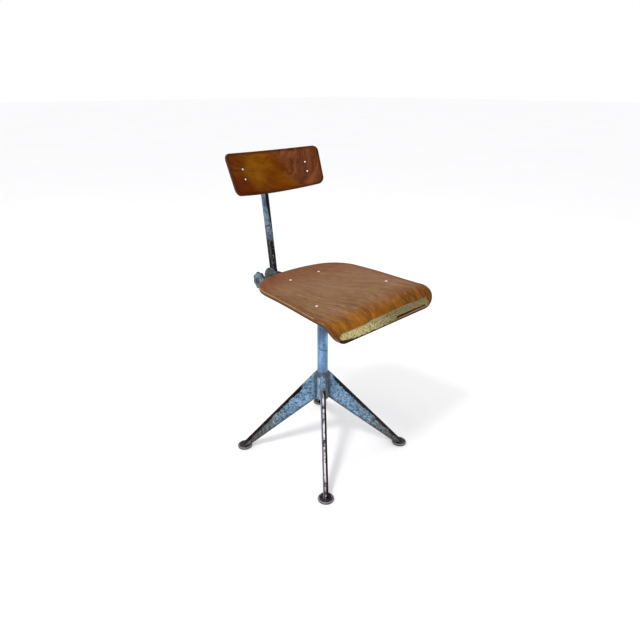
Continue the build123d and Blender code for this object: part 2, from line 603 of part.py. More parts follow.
def back_rivets():
    """Four rivets through plywood and strap."""
    rear = BACK_PLY + BRACKET_SHEET
    group = []
    for place in back_rivet_places():
        head = back_rivet(place, RIVET_HEAD_RADIUS, -RIVET_RECESS, BACK_RECESS)
        shank = back_rivet(place, RIVET_SHANK_RADIUS, BACK_RECESS, rear)
        closing = back_rivet(place, RIVET_CLOSING_RADIUS, rear, rear + RIVET_CLOSING)
        group.append(head + shank + closing)
    return Compound(group)


def back_clevis():
    """Folded fork welded to the strap: its two ears hold the pin at the top of the post."""
    pin_depth, pin_height = pin_in_backrest()
    inner = POST_WIDTH / 2 + PART_GAP
    outer = inner + BRACKET_SHEET
    base_depth = BACK_PLY + BRACKET_SHEET
    side = Pos(pin_depth, pin_height) * Circle(10.0) + make_face(Polyline(
        (base_depth, -12.0), (base_depth + 12.0, -12.0), (pin_depth + 6.0, pin_height - 8.0),
        (pin_depth + 6.0, pin_height + 8.0), (base_depth + 12.0, 30.0), (base_depth, 30.0),
        (base_depth, -12.0)))
    fork = extrude(Plane.YZ * side, outer, both=True)
    opening = slab((-inner, inner), (base_depth + BRACKET_SHEET, pin_depth + 30), (-40, 60))
    fork = in_backrest(fork - opening)
    return fork - cross_rod(PIN_RADIUS, -20, 20, PIN_Y, POST_PIN_Z)


def back_pin():
    """Pin through the clevis and the post, with a head at each end."""
    half = POST_WIDTH / 2 + PART_GAP + BRACKET_SHEET
    pin = cross_rod(PIN_RADIUS, -half, half, PIN_Y, POST_PIN_Z)
    for side in (-1, 1):
        pin = pin + cross_rod(5.5, side * half, side * (half + 2.5), PIN_Y, POST_PIN_Z)
    return pin


def build_back():
    """Post and backrest."""
    parts["back_post"] = back_post()
    parts["backrest_shell"] = backrest_shell()
    parts["backrest_strap"] = back_strap()
    parts["backrest_rivets"] = back_rivets()
    parts["backrest_clevis"] = back_clevis()
    parts["backrest_pin"] = back_pin()


def main():
    """Build every sub-part, centre the frame under the chair and write the files."""
    build_base()
    build_swivel()
    build_seat()
    build_clamp()
    build_back()
    boxes = [shape.bounding_box() for shape in parts.values()]
    rear = max(box.max.Y for box in boxes)
    shift = -(rear + SEAT_FRONT_FACE) / 2
    os.makedirs("parts", exist_ok=True)
    for name, shape in parts.items():
        export_step(Pos(0, shift, 0) * shape, "parts/" + name + ".step")
    print("shift along Y", round(shift, 4))
    print("back pivot", 0, round(PIVOT_Y + shift, 4), PIVOT_Z)
    print("backrest pin", 0, round(PIN_Y + shift, 4), POST_PIN_Z)


main()
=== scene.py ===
import math

import bpy
import numpy as np
from mathutils import Matrix, Vector, noise


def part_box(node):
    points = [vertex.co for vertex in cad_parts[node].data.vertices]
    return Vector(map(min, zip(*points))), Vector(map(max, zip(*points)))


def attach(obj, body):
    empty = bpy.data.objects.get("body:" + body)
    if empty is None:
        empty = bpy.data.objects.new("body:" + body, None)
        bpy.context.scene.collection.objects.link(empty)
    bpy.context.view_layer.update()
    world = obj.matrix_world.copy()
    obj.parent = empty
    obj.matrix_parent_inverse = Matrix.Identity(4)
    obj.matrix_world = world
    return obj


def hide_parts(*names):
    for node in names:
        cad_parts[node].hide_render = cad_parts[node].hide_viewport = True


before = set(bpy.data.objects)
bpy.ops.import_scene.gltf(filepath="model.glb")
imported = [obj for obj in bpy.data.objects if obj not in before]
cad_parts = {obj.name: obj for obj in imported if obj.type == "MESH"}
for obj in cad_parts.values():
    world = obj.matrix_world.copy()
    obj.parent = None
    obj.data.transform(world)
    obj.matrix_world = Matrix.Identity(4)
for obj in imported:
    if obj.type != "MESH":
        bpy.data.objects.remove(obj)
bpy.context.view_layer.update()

MM = 0.001

# ---- places and sizes, in metres
COLUMN_LOW, COLUMN_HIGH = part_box("column_tube")
SHIFT_Y = (COLUMN_LOW.y + COLUMN_HIGH.y) / 2      # the column's axis stands at (0, SHIFT_Y)
COLUMN_RADIUS = (COLUMN_HIGH.x - COLUMN_LOW.x) / 2
HUB_LOW, HUB_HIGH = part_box("hub_socket")
HUB_RADIUS = (HUB_HIGH.x - HUB_LOW.x) / 2

LEGS = ["front_left", "rear_left", "rear_right", "front_right"]
FIRST_LEG_ANGLE = -41.3
LEG_RIDGE_SLOPE = 1.105
LEG_RIDGE_TOP = 276.4 * MM       # where the ridge line would meet the column's axis
# Wear of each leg: strength of the bright worn crest with its painted highlight and painted shade,
# grime's reach from the foot, chips' start and depth.
LEG_WEAR = {
    "front_left": (0.05, 0.045, 0.024, 0.0070),
    "rear_left": (0.3, 0.03, 0.030, 0.0070),
    "rear_right": (0.05, 0.09, 0.050, 0.0060),
    "front_right": (1.0, 0.02, 0.042, 0.0095),
}

SEAT_TOP = 528.0 * MM
SEAT_PLY = 11.0 * MM
SEAT_REAR = 142.0 * MM
SEAT_FRONT = -232.0 * MM
SEAT_ROLL = 43.0 * MM
SEAT_LIP_BOTTOM = 480.0 * MM
SEAT_HALF_WIDTH = 187.0 * MM
SEAT_TAPER = 0.08
SEAT_REAR_RADIUS = 292.0 * MM
SEAT_REAR_CORNER = 107.0 * MM
SEAT_DISH_REAR = 6.0 * MM
SEAT_DISH_FRONT = 0.5 * MM
# Top of the torn band: places across the seat, and heights above the lip's end.
TORN_TOP = ((-0.165, -0.11, -0.07, -0.045, 0.08, 0.14, 0.165),
            (0.0265, 0.0245, 0.027, 0.0302, 0.0316, 0.030, 0.0275))
LIP_CORNER = (40.0 * MM, 58.0 * MM)     # across, along the bent sheet
LIP_GRID = 84.0 * MM             # reach of the seat's finer grid from the lip's end

BACK_Y = 193.2 * MM
BACK_Z = 795.0 * MM
BACK_RECLINE = math.radians(22.0)
BACK_RADIUS = 445.0 * MM
BACK_HALF_ARC = 155.7 * MM
BACK_TAPER = 3.3 * MM
BACK_HALF_HEIGHT = 53.0 * MM
BACK_TOP_CROWN = 5.7 * MM
BACK_BOTTOM_CROWN = 1.5 * MM
BACK_PLY = 7.0 * MM
BACK_CORNER = 18.0 * MM
BACK_RIVETS = (107.8 * MM, 13.0 * MM)
BACK_RECESS = 4.4 * MM
BACK_GRID = 36.0 * MM            # half height of the backrest's finer grid

POST_BARE = (0.604, 0.600)       # the post's enamel ends between these heights
POST_SCRATCH = (0.225, 0.6365)   # distance behind the column's axis, height

FLOOR_HALF = 40.0
KEY_PLACE = (-1.95, -0.45, 3.0)
KEY_SIZE = 0.55
KEY_POWER = 46
KEY_COLOUR = (1.0, 0.99, 0.98)
CAMERA_PLACE = (-0.9112, -0.9543, 1.0069)       # from the foot of the column's axis
CAMERA_TILT = 65.942
CAMERA_TURN = -43.356
CAMERA_LENS = 29.49
CAMERA_SENSOR = 36.0

ROLL_START = SEAT_FRONT + SEAT_ROLL
LIP_END = ROLL_START - SEAT_ROLL * math.pi / 2 - (SEAT_TOP - SEAT_ROLL - SEAT_LIP_BOTTOM)


# ---- node materials
class Finish:
    """A node material under construction.

    Lengths in its patterns are metres on the object. Colours are eight-bit screen colours.
    """

    def __init__(self, name):
        self.material = bpy.data.materials.new(name)
        self.material.use_nodes = True
        self.tree = self.material.node_tree
        self.shader = self.tree.nodes["Principled BSDF"]
        self.place = self.node("ShaderNodeTexCoord").outputs["Object"]

    def node(self, kind, **settings):
        made = self.tree.nodes.new(kind)
        for key, value in settings.items():
            setattr(made, key, value)
        return made

    def put(self, value, socket):
        if isinstance(value, bpy.types.NodeSocket):
            self.tree.links.new(value, socket)
        elif isinstance(value, tuple):
            socket.default_value = (*srgb(*value), 1.0)
        else:
            socket.default_value = value

    def math(self, operation, a, b=0.0, c=0.0):
        made = self.node("ShaderNodeMath", operation=operation)
        for value, socket in zip((a, b, c), made.inputs):
            self.put(value, socket)
        return made.outputs[0]

    def split(self, vector):
        made = self.node("ShaderNodeSeparateXYZ")
        self.put(vector, made.inputs[0])
        return made.outputs

    def join(self, x, y, z):
        made = self.node("ShaderNodeCombineXYZ")
        for value, socket in zip((x, y, z), made.inputs):
            self.put(value, socket)
        return made.outputs[0]

    def mapped(self, vector, scale=(1, 1, 1), turn=(0, 0, 0), move=(0, 0, 0)):
        made = self.node("ShaderNodeMapping")
        self.put(vector, made.inputs["Vector"])
        made.inputs["Scale"].default_value = scale
        made.inputs["Rotation"].default_value = turn
        made.inputs["Location"].default_value = move
        return made.outputs[0]

    def mark(self, name, output="Fac"):
        """A number kept on the mesh, or a place when the output is Vector."""
        return self.node("ShaderNodeAttribute", attribute_name=name).outputs[output]

    def noise(self, size, vector=None, detail=4.0, roughness=0.55, distortion=0.0):
        made = self.node("ShaderNodeTexNoise")
        self.put(self.place if vector is None else vector, made.inputs["Vector"])
        made.inputs["Scale"].default_value = 1.0 / size
        made.inputs["Detail"].default_value = detail
        made.inputs["Roughness"].default_value = roughness
        made.inputs["Distortion"].default_value = distortion
        return made.outputs["Fac"]

    def band(self, value, low, high):
        """0 below low, 1 above high, smooth between. low may be above high, to fall instead."""
        made = self.node("ShaderNodeMapRange", interpolation_type="SMOOTHSTEP")
        self.put(value, made.inputs["Value"])
        if low < high:
            limits = (low, high, 0.0, 1.0)
        else:
            limits = (high, low, 1.0, 0.0)
        for number, key in zip(limits, ("From Min", "From Max", "To Min", "To Max")):
            made.inputs[key].default_value = number
        return made.outputs["Result"]

    def times(self, a, b):
        return self.math("MULTIPLY", a, b)

    def plus(self, a, b):
        return self.math("ADD", a, b)

    def minus(self, a, b):
        return self.math("SUBTRACT", a, b)

    def absolute(self, a):
        return self.math("ABSOLUTE", a)

    def scaled(self, value, factor, start):
        """value times factor, added to start."""
        return self.math("MULTIPLY_ADD", value, factor, start)

    def wander(self, value, pattern, reach):
        """The value, moved either way by a pattern whose middle is 0.5."""
        return self.scaled(self.minus(pattern, 0.5), reach, value)

    def both(self, a, b):
        return self.times(a, b)

    def either(self, a, b):
        return self.math("MAXIMUM", a, b)

    def mix(self, share, a, b, blend="MIX"):
        made = self.node("ShaderNodeMix", data_type="RGBA", blend_type=blend)
        self.put(share, made.inputs[0])
        self.put(a, made.inputs[6])
        self.put(b, made.inputs[7])
        return made.outputs[2]

    def over(self, base, colour, share, strength):
        """The colour laid over the base, at this strength where share is 1."""
        return self.mix(self.times(share, strength), base, colour)

    def veil(self, base, colour, value, low, high, strength):
        """The colour laid over the base as the value passes from low to high."""
        return self.over(base, colour, self.band(value, low, high), strength)

    def blend(self, share, a, b):
        made = self.node("ShaderNodeMix", data_type="FLOAT")
        self.put(share, made.inputs[0])
        self.put(a, made.inputs[2])
        self.put(b, made.inputs[3])
        return made.outputs[0]

    def ramp(self, value, stops):
        made = self.node("ShaderNodeValToRGB")
        self.put(value, made.inputs[0])
        steps = made.color_ramp.elements
        while len(steps) < len(stops):
            steps.new(0.5)
        for step, (place, colour) in zip(steps, stops):
            step.position = place
            step.color = (*srgb(*colour), 1.0)
        return made.outputs[0]

    def done(self, colour, roughness, height=None, depth=0.1 * MM, metallic=0.0, specular=0.5):
        self.put(colour, self.shader.inputs["Base Color"])
        self.put(roughness, self.shader.inputs["Roughness"])
        self.put(metallic, self.shader.inputs["Metallic"])
        self.shader.inputs["Specular IOR Level"].default_value = specular
        if height is not None:
            bump = self.node("ShaderNodeBump")
            bump.inputs["Strength"].default_value = 1.0
            bump.inputs["Distance"].default_value = depth
            self.put(height, bump.inputs["Height"])
            self.put(bump.outputs[0], self.shader.inputs["Normal"])
        return self.material


def srgb(red, green, blue):
    """Linear colour of an eight-bit screen colour."""
    def linear(level):
        share = level / 255
        return share / 12.92 if share <= 0.04045 else ((share + 0.055) / 1.055) ** 2.4
    return (linear(red), linear(green), linear(blue))


def veneer_grain(f, blank, turn, pore=1.0):
    """Figure, fine streaks and pores of a veneer laid along the second blank coordinate."""
    laid = f.mapped(blank, turn=(0, 0, turn))
    warp = f.noise(0.12, laid, detail=2.0)
    x, y, z = f.split(laid)
    bent = f.join(f.scaled(warp, 0.05, x), y, z)
    figure = f.noise(1.0, f.mapped(bent, scale=(38, 5.5, 1)), detail=5.0, roughness=0.6, distortion=0.35)
    streak = f.noise(1.0, f.mapped(bent, scale=(260, 9, 1)), roughness=0.65)
    pores = f.noise(1.0, f.mapped(bent, scale=(900 * pore, 45, 1)), detail=3.0, roughness=0.7)
    return figure, streak, pores


def ply_edge(f, depth, blank, plies, light, dark):
    """Colour of the cut edge: thin plies with the grain running along and across by turns."""
    wobble = f.noise(0.02, blank, detail=2.0)
    level = f.scaled(depth, float(plies), f.times(wobble, 0.25))
    stripe = f.math("PINGPONG", level, 1.0)
    fibre = f.noise(1.0, f.mapped(blank, scale=(700, 700, 1)), detail=3.0)
    soft = f.band(stripe, 0.25, 0.75)
    base = f.mix(soft, light, dark)
    glue = f.band(f.absolute(f.minus(stripe, 0.5)), 0.10, 0.02)
    base = f.over(base, (70, 42, 24), glue, 0.55)
    return f.mix(f.times(fibre, 0.35), base, (120, 76, 40), "MULTIPLY")


def flat_varnish(f, blank, along, grain):
    """Greyed varnish of the flat part, redder at the rear, and its broad patches."""
    figure, streak, pores = grain
    tone = f.ramp(figure, [(0.28, (86, 47, 18)), (0.45, (110, 67, 32)), (0.6, (122, 78, 42)),
                           (0.76, (138, 92, 54))])
    tone = f.veil(tone, (152, 108, 64), streak, 0.44, 0.6, 0.8)
    tone = f.veil(tone, (74, 42, 22), pores, 0.5, 0.62, 0.6)
    patch = f.noise(0.10, blank, roughness=0.6)
    tone = f.veil(tone, (130, 86, 62), patch, 0.47, 0.62, 0.5)
    tone = f.veil(tone, (112, 64, 18), patch, 0.48, 0.36, 0.6)
    rear = f.band(f.scaled(patch, 0.06, along), 0.02, 0.14)
    tone = f.over(tone, (104, 54, 10), rear, 0.8)
    dulled = f.times(f.minus(1.0, rear), 0.14)
    tone = f.mix(dulled, tone, (98, 104, 84))
    return tone, patch


def roll_varnish(f, across, fanned, grain, patch):
    """Orange varnish over the rolled front, darker to the right, and its blotches."""
    figure, streak, pores = grain
    rich = f.ramp(figure, [(0.3, (92, 46, 0)), (0.48, (118, 66, 0)), (0.66, (142, 86, 6))])
    glow = f.both(f.band(patch, 0.46, 0.6), f.band(f.absolute(f.plus(across, 0.05)), 0.11, 0.03))
    rich = f.over(rich, (162, 106, 20), glow, 0.35)
    rich = f.veil(rich, (158, 104, 18), streak, 0.45, 0.62, 0.45)
    blotch = f.noise(0.042, f.mapped(fanned, scale=(1.6, 0.7, 1)))
    rich = f.veil(rich, (88, 50, 0), blotch, 0.5, 0.64, 0.55)
    rich = f.veil(rich, (156, 104, 26), blotch, 0.48, 0.36, 0.35)
    rich = f.veil(rich, (56, 26, 0), pores, 0.5, 0.64, 0.35)
    to_right = f.band(across, -0.06, 0.12)
    rich = f.over(rich, (82, 42, 0), to_right, 0.55)
    return rich, blotch


def seat_plies(f, depth, blank, blotch):
    """Plies of the seat's cut edge, with a worn pale line near the top."""
    plies = ply_edge(f, depth, blank, 7, (122, 88, 54), (86, 58, 34))
    worn_line = f.both(f.band(depth, 0.26, 0.10), f.band(blotch, 0.62, 0.48))
    plies = f.over(plies, (184, 148, 106), worn_line, 0.7)
    plies = f.veil(plies, (56, 36, 20), depth, 0.5, 0.8, 0.8)
    return plies


def torn_core(f, blank, across, along):
    """Light fibrous core where the face veneer is torn off, its grain and its specks."""
    core_grain = f.noise(1.0, f.mapped(blank, scale=(420, 160, 1)), roughness=0.7)
    core = f.ramp(core_grain, [(0.34, (132, 120, 74)), (0.5, (180, 168, 116)),
                               (0.64, (210, 200, 150))])
    grime = f.band(f.noise(0.012, blank, detail=5.0, roughness=0.7), 0.50, 0.62)
    core = f.over(core, (98, 92, 62), grime, 0.6)
    spread = f.wander(along, core_grain, 0.012)
    top_wash = f.both(f.band(spread, LIP_END + 0.018, LIP_END + 0.024), f.band(across, -0.075, -0.045))
    top_line = f.band(spread, LIP_END + 0.0225, LIP_END + 0.026)
    core = f.over(core, (136, 128, 102), f.either(top_wash, top_line), 0.75)
    stained = f.both(f.band(f.absolute(f.minus(across, 0.018)), 0.034, 0.018),
                     f.band(f.noise(0.006, blank), 0.48, 0.56))
    core = f.over(core, (64, 56, 30), stained, 0.75)
    core = f.veil(core, (106, 94, 62), across, -0.10, 0.06, 0.8)
    specks = f.band(f.noise(0.0045, blank, detail=3.0, roughness=0.7), 0.56, 0.60)
    core = f.over(core, (52, 44, 22), specks, 0.8)
    return core, core_grain, specks


def seat_wood():
    """Worn satin varnish over veneer, greyed in the middle, orange over the rolled front."""
    f = Finish("seat_wood")
    blank = f.mark("blank", "Vector")
    depth = f.mark("depth")
    rim = f.mark("rim")
    edge = f.mark("edge")
    torn = f.mark("torn")
    crack = f.mark("crack")
    across, along, _ = f.split(blank)
    bend = f.both(f.band(across, -0.15, 0.04), f.band(along, ROLL_START - 0.03, ROLL_START + 0.08))
    lean = f.scaled(bend, 0.75, 0.12)
    fanned = f.join(f.scaled(lean, f.plus(along, 0.12), across), along, 0.0)
    figure, streak, pores = veneer_grain(f, fanned, 0.0)
    tone, patch = flat_varnish(f, blank, along, (figure, streak, pores))
    rich, blotch = roll_varnish(f, across, fanned, (figure, streak, pores), patch)
    fade = f.wander(along, figure, 0.06)
    wider = f.scaled(f.band(across, -0.02, 0.14), -0.022, fade)
    front = f.band(wider, ROLL_START + 0.030, ROLL_START - 0.038)
    border = f.band(f.wander(rim, figure, 0.02), 0.022, 0.003)
    colour = f.over(tone, (96, 50, 20), border, 0.55)
    colour = f.mix(front, colour, rich)
    mottle = f.noise(0.0075, f.mapped(fanned, scale=(1, 0.35, 1)), roughness=0.7)
    colour = f.veil(colour, (74, 42, 16), mottle, 0.5, 0.62, 0.22)
    colour = f.veil(colour, (166, 122, 76), mottle, 0.48, 0.38, 0.2)
    low = f.band(along, LIP_END + 0.03, LIP_END + 0.004)
    colour = f.over(colour, (78, 46, 28), low, 0.75)
    corner = f.both(f.band(f.scaled(figure, 0.01, along), LIP_END + 0.062, LIP_END + 0.018),
                    f.band(across, -0.135, -0.165))
    colour = f.over(colour, (74, 48, 30), corner, 0.7)
    below = f.band(depth, 0.55, 0.75)
    colour = f.mix(below, colour, (112, 78, 50))
    plies = seat_plies(f, depth, blank, blotch)
    colour = f.mix(f.band(edge, 0.3, 0.9), colour, plies)
    core, core_grain, specks = torn_core(f, blank, across, along)
    colour = f.mix(torn, colour, core)
    tan_strip = f.times(f.mark("recess"), 0.85)
    colour = f.mix(tan_strip, colour, (122, 92, 62))
    colour = f.mix(f.band(crack, 0.0, 0.6), colour, (22, 10, 3))
    hem_top = f.scaled(f.band(across, -0.10, -0.165), 0.007, LIP_END + 0.0045)
    hem_edge = f.minus(f.wander(along, specks, -0.0016), hem_top)
    hem = f.band(hem_edge, 0.0012, -0.0010)
    colour = f.over(colour, (34, 20, 12), hem, 0.9)
    rough = f.scaled(pores, 0.2, 0.36)
    rough = f.blend(torn, rough, 0.8)
    rough = f.blend(edge, rough, 0.6)
    height = f.scaled(pores, 0.35, f.times(streak, 0.65))
    height = f.blend(torn, height, f.times(core_grain, 2.5))
    return f.done(colour, rough, height, depth=0.12 * MM, specular=0.06)


def back_wood():
    """Richer, redder varnish, darkest at the lower left and purplish towards the right end."""
    f = Finish("backrest_wood")
    blank = f.mark("blank", "Vector")
    depth = f.mark("depth")
    rim = f.mark("rim")
    edge = f.mark("edge")
    counterbore_shade = f.mark("recess")
    across, up, _ = f.split(blank)
    sway = f.times(f.minus(f.noise(0.07, blank, detail=3.0), 0.5), 0.09)
    chevron = f.absolute(f.minus(f.scaled(up, 0.5, across), 0.05))
    lean = f.minus(f.plus(up, sway), f.times(chevron, 0.75))
    folded = f.join(lean, across, 0.0)
    figure, streak, pores = veneer_grain(f, folded, math.radians(10), pore=0.8)
    tone = f.ramp(figure, [(0.25, (66, 26, 0)), (0.45, (92, 42, 0)), (0.6, (106, 54, 0)),
                           (0.78, (122, 70, 4))])
    tone = f.veil(tone, (124, 76, 10), streak, 0.45, 0.6, 0.4)
    tone = f.veil(tone, (44, 18, 0), pores, 0.52, 0.64, 0.55)
    cloud = f.times(f.minus(f.noise(0.06, blank, detail=3.0), 0.5), 0.16)
    to_right = f.scaled(up, 0.7, f.plus(across, cloud))
    mottle = f.noise(0.03, f.join(lean, f.times(across, 0.5), 0.0))
    dusk = f.mix(f.band(mottle, 0.4, 0.62), (70, 32, 18), (114, 66, 38))
    dusk = f.veil(dusk, (130, 82, 56), streak, 0.45, 0.62, 0.3)
    tone = f.veil(tone, dusk, to_right, 0.02, 0.075, 0.85)
    corner = f.plus(f.times(across, 0.55), f.plus(up, cloud))
    tone = f.veil(tone, (80, 24, 0), corner, -0.055, -0.10, 0.75)
    left = f.band(f.plus(across, cloud), -0.075, -0.13)
    tone = f.over(tone, (84, 30, 0), left, 0.4)
    far = f.plus(f.absolute(f.plus(across, 0.06)), f.absolute(f.minus(up, 0.018)))
    tone = f.veil(tone, (142, 92, 10), f.plus(far, cloud), 0.08, 0.005, 0.45)
    tone = f.veil(tone, (48, 18, 4), rim, 0.009, 0.001, 0.6)
    plies = ply_edge(f, depth, blank, 5, (96, 66, 44), (62, 40, 28))
    colour = f.mix(edge, tone, plies)
    # Painted shade: near black round each rivet's counterbore.
    colour = f.mix(counterbore_shade, colour, (30, 14, 6))
    rough = f.scaled(pores, 0.2, 0.3)
    height = f.scaled(pores, 0.4, f.times(streak, 0.6))
    return f.done(colour, rough, height, specular=0.02)


def enamel_layers(f, place, light, dark, rust, speckle):
    """Old enamel: slow tone changes, fine dirt and chips down to dark rusty steel."""
    slow = f.noise(0.03, place)
    fine = f.noise(0.0045, place, roughness=0.7)
    chips = f.noise(0.008, place, detail=6.0, roughness=0.78)
    paint = f.mix(f.band(slow, 0.3, 0.7), dark, light)
    paint = f.veil(paint, dark, fine, 0.45, 0.7, 0.35)
    chipped = f.band(chips, 1.0 - speckle, 1.04 - speckle)
    rusty = f.mix(f.band(fine, 0.4, 0.6), rust, (38, 33, 34))
    return paint, chipped, rusty, fine


def leg_frame(f, angle):
    """Places in a leg's own frame: X outwards, Y sideways, Z up."""
    centred = f.mapped(f.place, move=(0, -SHIFT_Y, 0))
    return f.mapped(centred, turn=(0, 0, -math.radians(angle)))


def leg_speckle(f, local, radius, paint):
    """Fine pale and dark grains in the enamel, stronger and greyer towards the foot."""
    scurf = f.noise(0.0046, local, roughness=0.75)
    outwards = f.band(radius, 0.04, 0.17)
    amount = f.scaled(outwards, 0.45, 0.45)
    grey = f.mix(outwards, (104, 138, 168), (92, 104, 100))
    paint = f.over(paint, grey, outwards, 0.6)
    pale = f.mix(outwards, (150, 188, 222), (170, 178, 172))
    paint = f.veil(paint, pale, scurf, 0.48, 0.40, amount)
    paint = f.veil(paint, (22, 34, 46), scurf, 0.52, 0.58, amount)
    return paint


def ridge_wear(f, local, radius, up, chips_from, chip_depth):
    """Where the enamel is chipped off along the leg's ridge, and the noise that frays its edge."""
    ridge = f.minus(LEG_RIDGE_TOP, f.scaled(radius, LEG_RIDGE_SLOPE, up))
    ragged = f.times(f.minus(f.noise(0.014, local, detail=5.0, roughness=0.7), 0.5), 0.026)
    height = f.plus(ridge, ragged)
    reach = f.band(f.plus(radius, ragged), chips_from, chips_from + 0.012)
    swell = f.both(f.band(radius, chips_from, chips_from + 0.02), f.band(radius, 0.13, 0.08))
    nearer = f.scaled(f.noise(0.05, local, detail=2.0), 0.010, f.scaled(swell, 0.0025, -0.004))
    worn = f.both(f.band(f.minus(height, nearer), chip_depth, chip_depth - 0.0022), reach)
    return worn, ragged


def leg_paint(name, angle, crest_wear_and_light, tired, chips_from, chip_depth):
    """Blue enamel of one leg, in the leg's own frame: worn ridge with a painted highlight on its crest
    and painted shade at one side, grimy foot, dirty lower edge.
    """
    f = Finish("leg_enamel_" + name)
    local = leg_frame(f, angle)
    radius, side, up = f.split(local)
    paint, chipped, rusty, fine = enamel_layers(f, local, (140, 178, 212), (92, 124, 150),
                                                (56, 40, 36), 0.465)
    paint = leg_speckle(f, local, radius, paint)
    worn, ragged = ridge_wear(f, local, radius, up, chips_from, chip_depth)
    colour = f.over(paint, rusty, chipped, 0.8)
    foot = f.band(f.plus(radius, f.times(ragged, 3.0)), 0.205 - tired, 0.235 - 0.5 * tired)
    grime = f.mix(f.band(fine, 0.42, 0.6), (44, 42, 38), (104, 100, 92))
    colour = f.over(colour, grime, foot, 0.8)
    rust = f.mix(f.band(radius, 0.07, 0.12), (36, 34, 44), (80, 52, 44))
    band_colour = f.mix(f.band(fine, 0.50, 0.64), (8, 6, 10), rust)
    colour = f.mix(worn, colour, band_colour)
    # Painted highlight: a bright line along the crest, over the bare metal where the ridge is worn.
    crest = f.band(f.absolute(f.plus(side, 0.0010)), 0.0034, 0.0014)
    worked = f.noise(0.02, local, detail=5.0, roughness=0.65)
    shiny = f.both(f.both(crest, worn), f.band(worked, 0.66, 0.42))
    bare = f.mix(f.band(worked, 0.46, 0.60), (224, 214, 218), (150, 130, 136))
    colour = f.over(colour, bare, shiny, crest_wear_and_light)
    # Painted shade: near black at one side of the worn ridge.
    shaded_flank = f.both(f.both(f.band(f.plus(side, 0.0010), 0.0022, 0.0032), worn), f.band(radius, 0.05, 0.07))
    colour = f.over(colour, (16, 10, 14), shaded_flank, 0.9 * crest_wear_and_light)
    lit_edge = f.both(f.band(side, -0.0046, -0.0060), f.band(fine, 0.62, 0.5))
    colour = f.over(colour, (132, 152, 172), lit_edge, 0.7 * crest_wear_and_light)
    low_edge = f.minus(up, f.scaled(radius, -0.803, 0.1905))
    colour = f.veil(colour, (66, 60, 58), f.plus(low_edge, ragged), 0.006, 0.001, 0.6)
    at_hub = f.band(f.plus(radius, f.times(ragged, 0.6)), 0.028, 0.0205)
    colour = f.over(colour, (62, 68, 74), at_hub, 0.75)
    rough = f.scaled(fine, 0.25, 0.38)
    relief = f.minus(f.times(fine, 0.3), f.either(chipped, worn))
    return f.done(colour, rough, relief, depth=0.15 * MM, specular=0.06)


def column_paint():
    """Light blue enamel of the column with one long curved scratch and small nicks."""
    f = Finish("column_enamel")
    local = f.mapped(f.place, move=(0, -SHIFT_Y, 0))
    x, y, z = f.split(local)
    paint, chipped, rusty, fine = enamel_layers(f, local, (118, 160, 206), (86, 126, 172),
                                                (44, 54, 80), 0.42)
    turn = f.math("ARCTAN2", y, x)
    facing = f.plus(turn, math.radians(133.5))
    curve = f.scaled(f.times(facing, facing), 0.0024, f.scaled(facing, -0.0075, 0.3315))
    wavy = f.wander(curve, f.noise(0.012, local), 0.005)
    away = f.absolute(f.minus(z, wavy))
    scratch = f.both(f.band(away, 0.0016, 0.0007), f.band(f.absolute(facing), 1.35, 1.15))
    nicks = f.both(f.band(f.noise(0.009, local, detail=2.0), 0.66, 0.7), f.band(z, 0.30, 0.36))
    mark = f.either(scratch, nicks)
    streaks = f.noise(1.0, f.mapped(local, scale=(160, 160, 14)), detail=3.0)
    colour = f.veil(paint, (74, 106, 150), streaks, 0.5, 0.62, 0.4)
    colour = f.veil(colour, (150, 186, 226), streaks, 0.45, 0.35, 0.4)
    colour = f.over(colour, rusty, chipped, 0.55)
    colour = f.mix(mark, colour, (44, 48, 72))
    under = f.band(z, 0.290, 0.262)
    colour = f.over(colour, (74, 88, 100), f.both(under, f.band(fine, 0.3, 0.6)), 0.5)
    shade = f.band(f.wander(z, streaks, 0.04), 0.352, 0.392)
    colour = f.over(colour, (54, 72, 98), shade, 0.65)
    rough = f.scaled(fine, 0.2, 0.3)
    relief = f.minus(f.times(fine, 0.2), f.either(mark, chipped))
    return f.done(colour, rough, relief, depth=0.12 * MM, specular=0.3)


def hub_paint():
    """Enamel burnt dark olive round the welds at the top of the hub; by the front leg's root, painted
    shade on one side and a painted highlight on the other.
    """
    f = Finish("hub_enamel")
    paint, chipped, rusty, fine = enamel_layers(f, f.place, (140, 168, 192), (96, 126, 154),
                                                (58, 46, 42), 0.45)
    z = f.split(f.place)[2]
    ragged = f.wander(z, f.noise(0.01), 0.02)
    burnt = f.band(ragged, HUB_HIGH.z - 0.020, HUB_HIGH.z - 0.009)
    scale = f.mix(f.band(fine, 0.4, 0.65), (56, 62, 62), (100, 108, 108))
    colour = f.over(paint, rusty, chipped, 0.8)
    bare_leg = FIRST_LEG_ANGLE + 90.0 * LEGS.index("front_right")
    outwards, side, _ = f.split(leg_frame(f, bare_leg))
    # Painted shade: the dark scale colour laid on the hub next to the front leg's root.
    shaded_hub_flank = f.both(f.band(f.scaled(fine, 0.002, side), 0.003, 0.006), f.band(outwards, 0.0, 0.004))
    colour = f.over(colour, scale, shaded_hub_flank, 0.8)
    # Painted highlight: pale blue near the hub's top on the front leg's other side.
    rubbed = f.both(f.band(f.absolute(f.plus(side, 0.007)), 0.006, 0.002),
                    f.band(z, HUB_HIGH.z - 0.045, HUB_HIGH.z - 0.022))
    colour = f.over(colour, (206, 222, 234), f.both(rubbed, f.band(outwards, 0.0, 0.004)), 0.6)
    colour = f.mix(burnt, colour, scale)
    relief = f.minus(fine, chipped)
    return f.done(colour, f.scaled(fine, 0.3, 0.4), relief, depth=0.2 * MM, specular=0.12)


def weld_metal():
    """Dark scaled weld with a little olive and rust."""
    f = Finish("weld_scale")
    fine = f.noise(0.0025, detail=5.0, roughness=0.7)
    slow = f.noise(0.012, detail=3.0)
    colour = f.mix(f.band(slow, 0.35, 0.65), (58, 64, 66), (98, 106, 108))
    colour = f.veil(colour, (74, 56, 46), fine, 0.52, 0.68, 0.4)
    return f.done(colour, f.scaled(fine, 0.3, 0.4), fine, depth=0.25 * MM, specular=0.12)


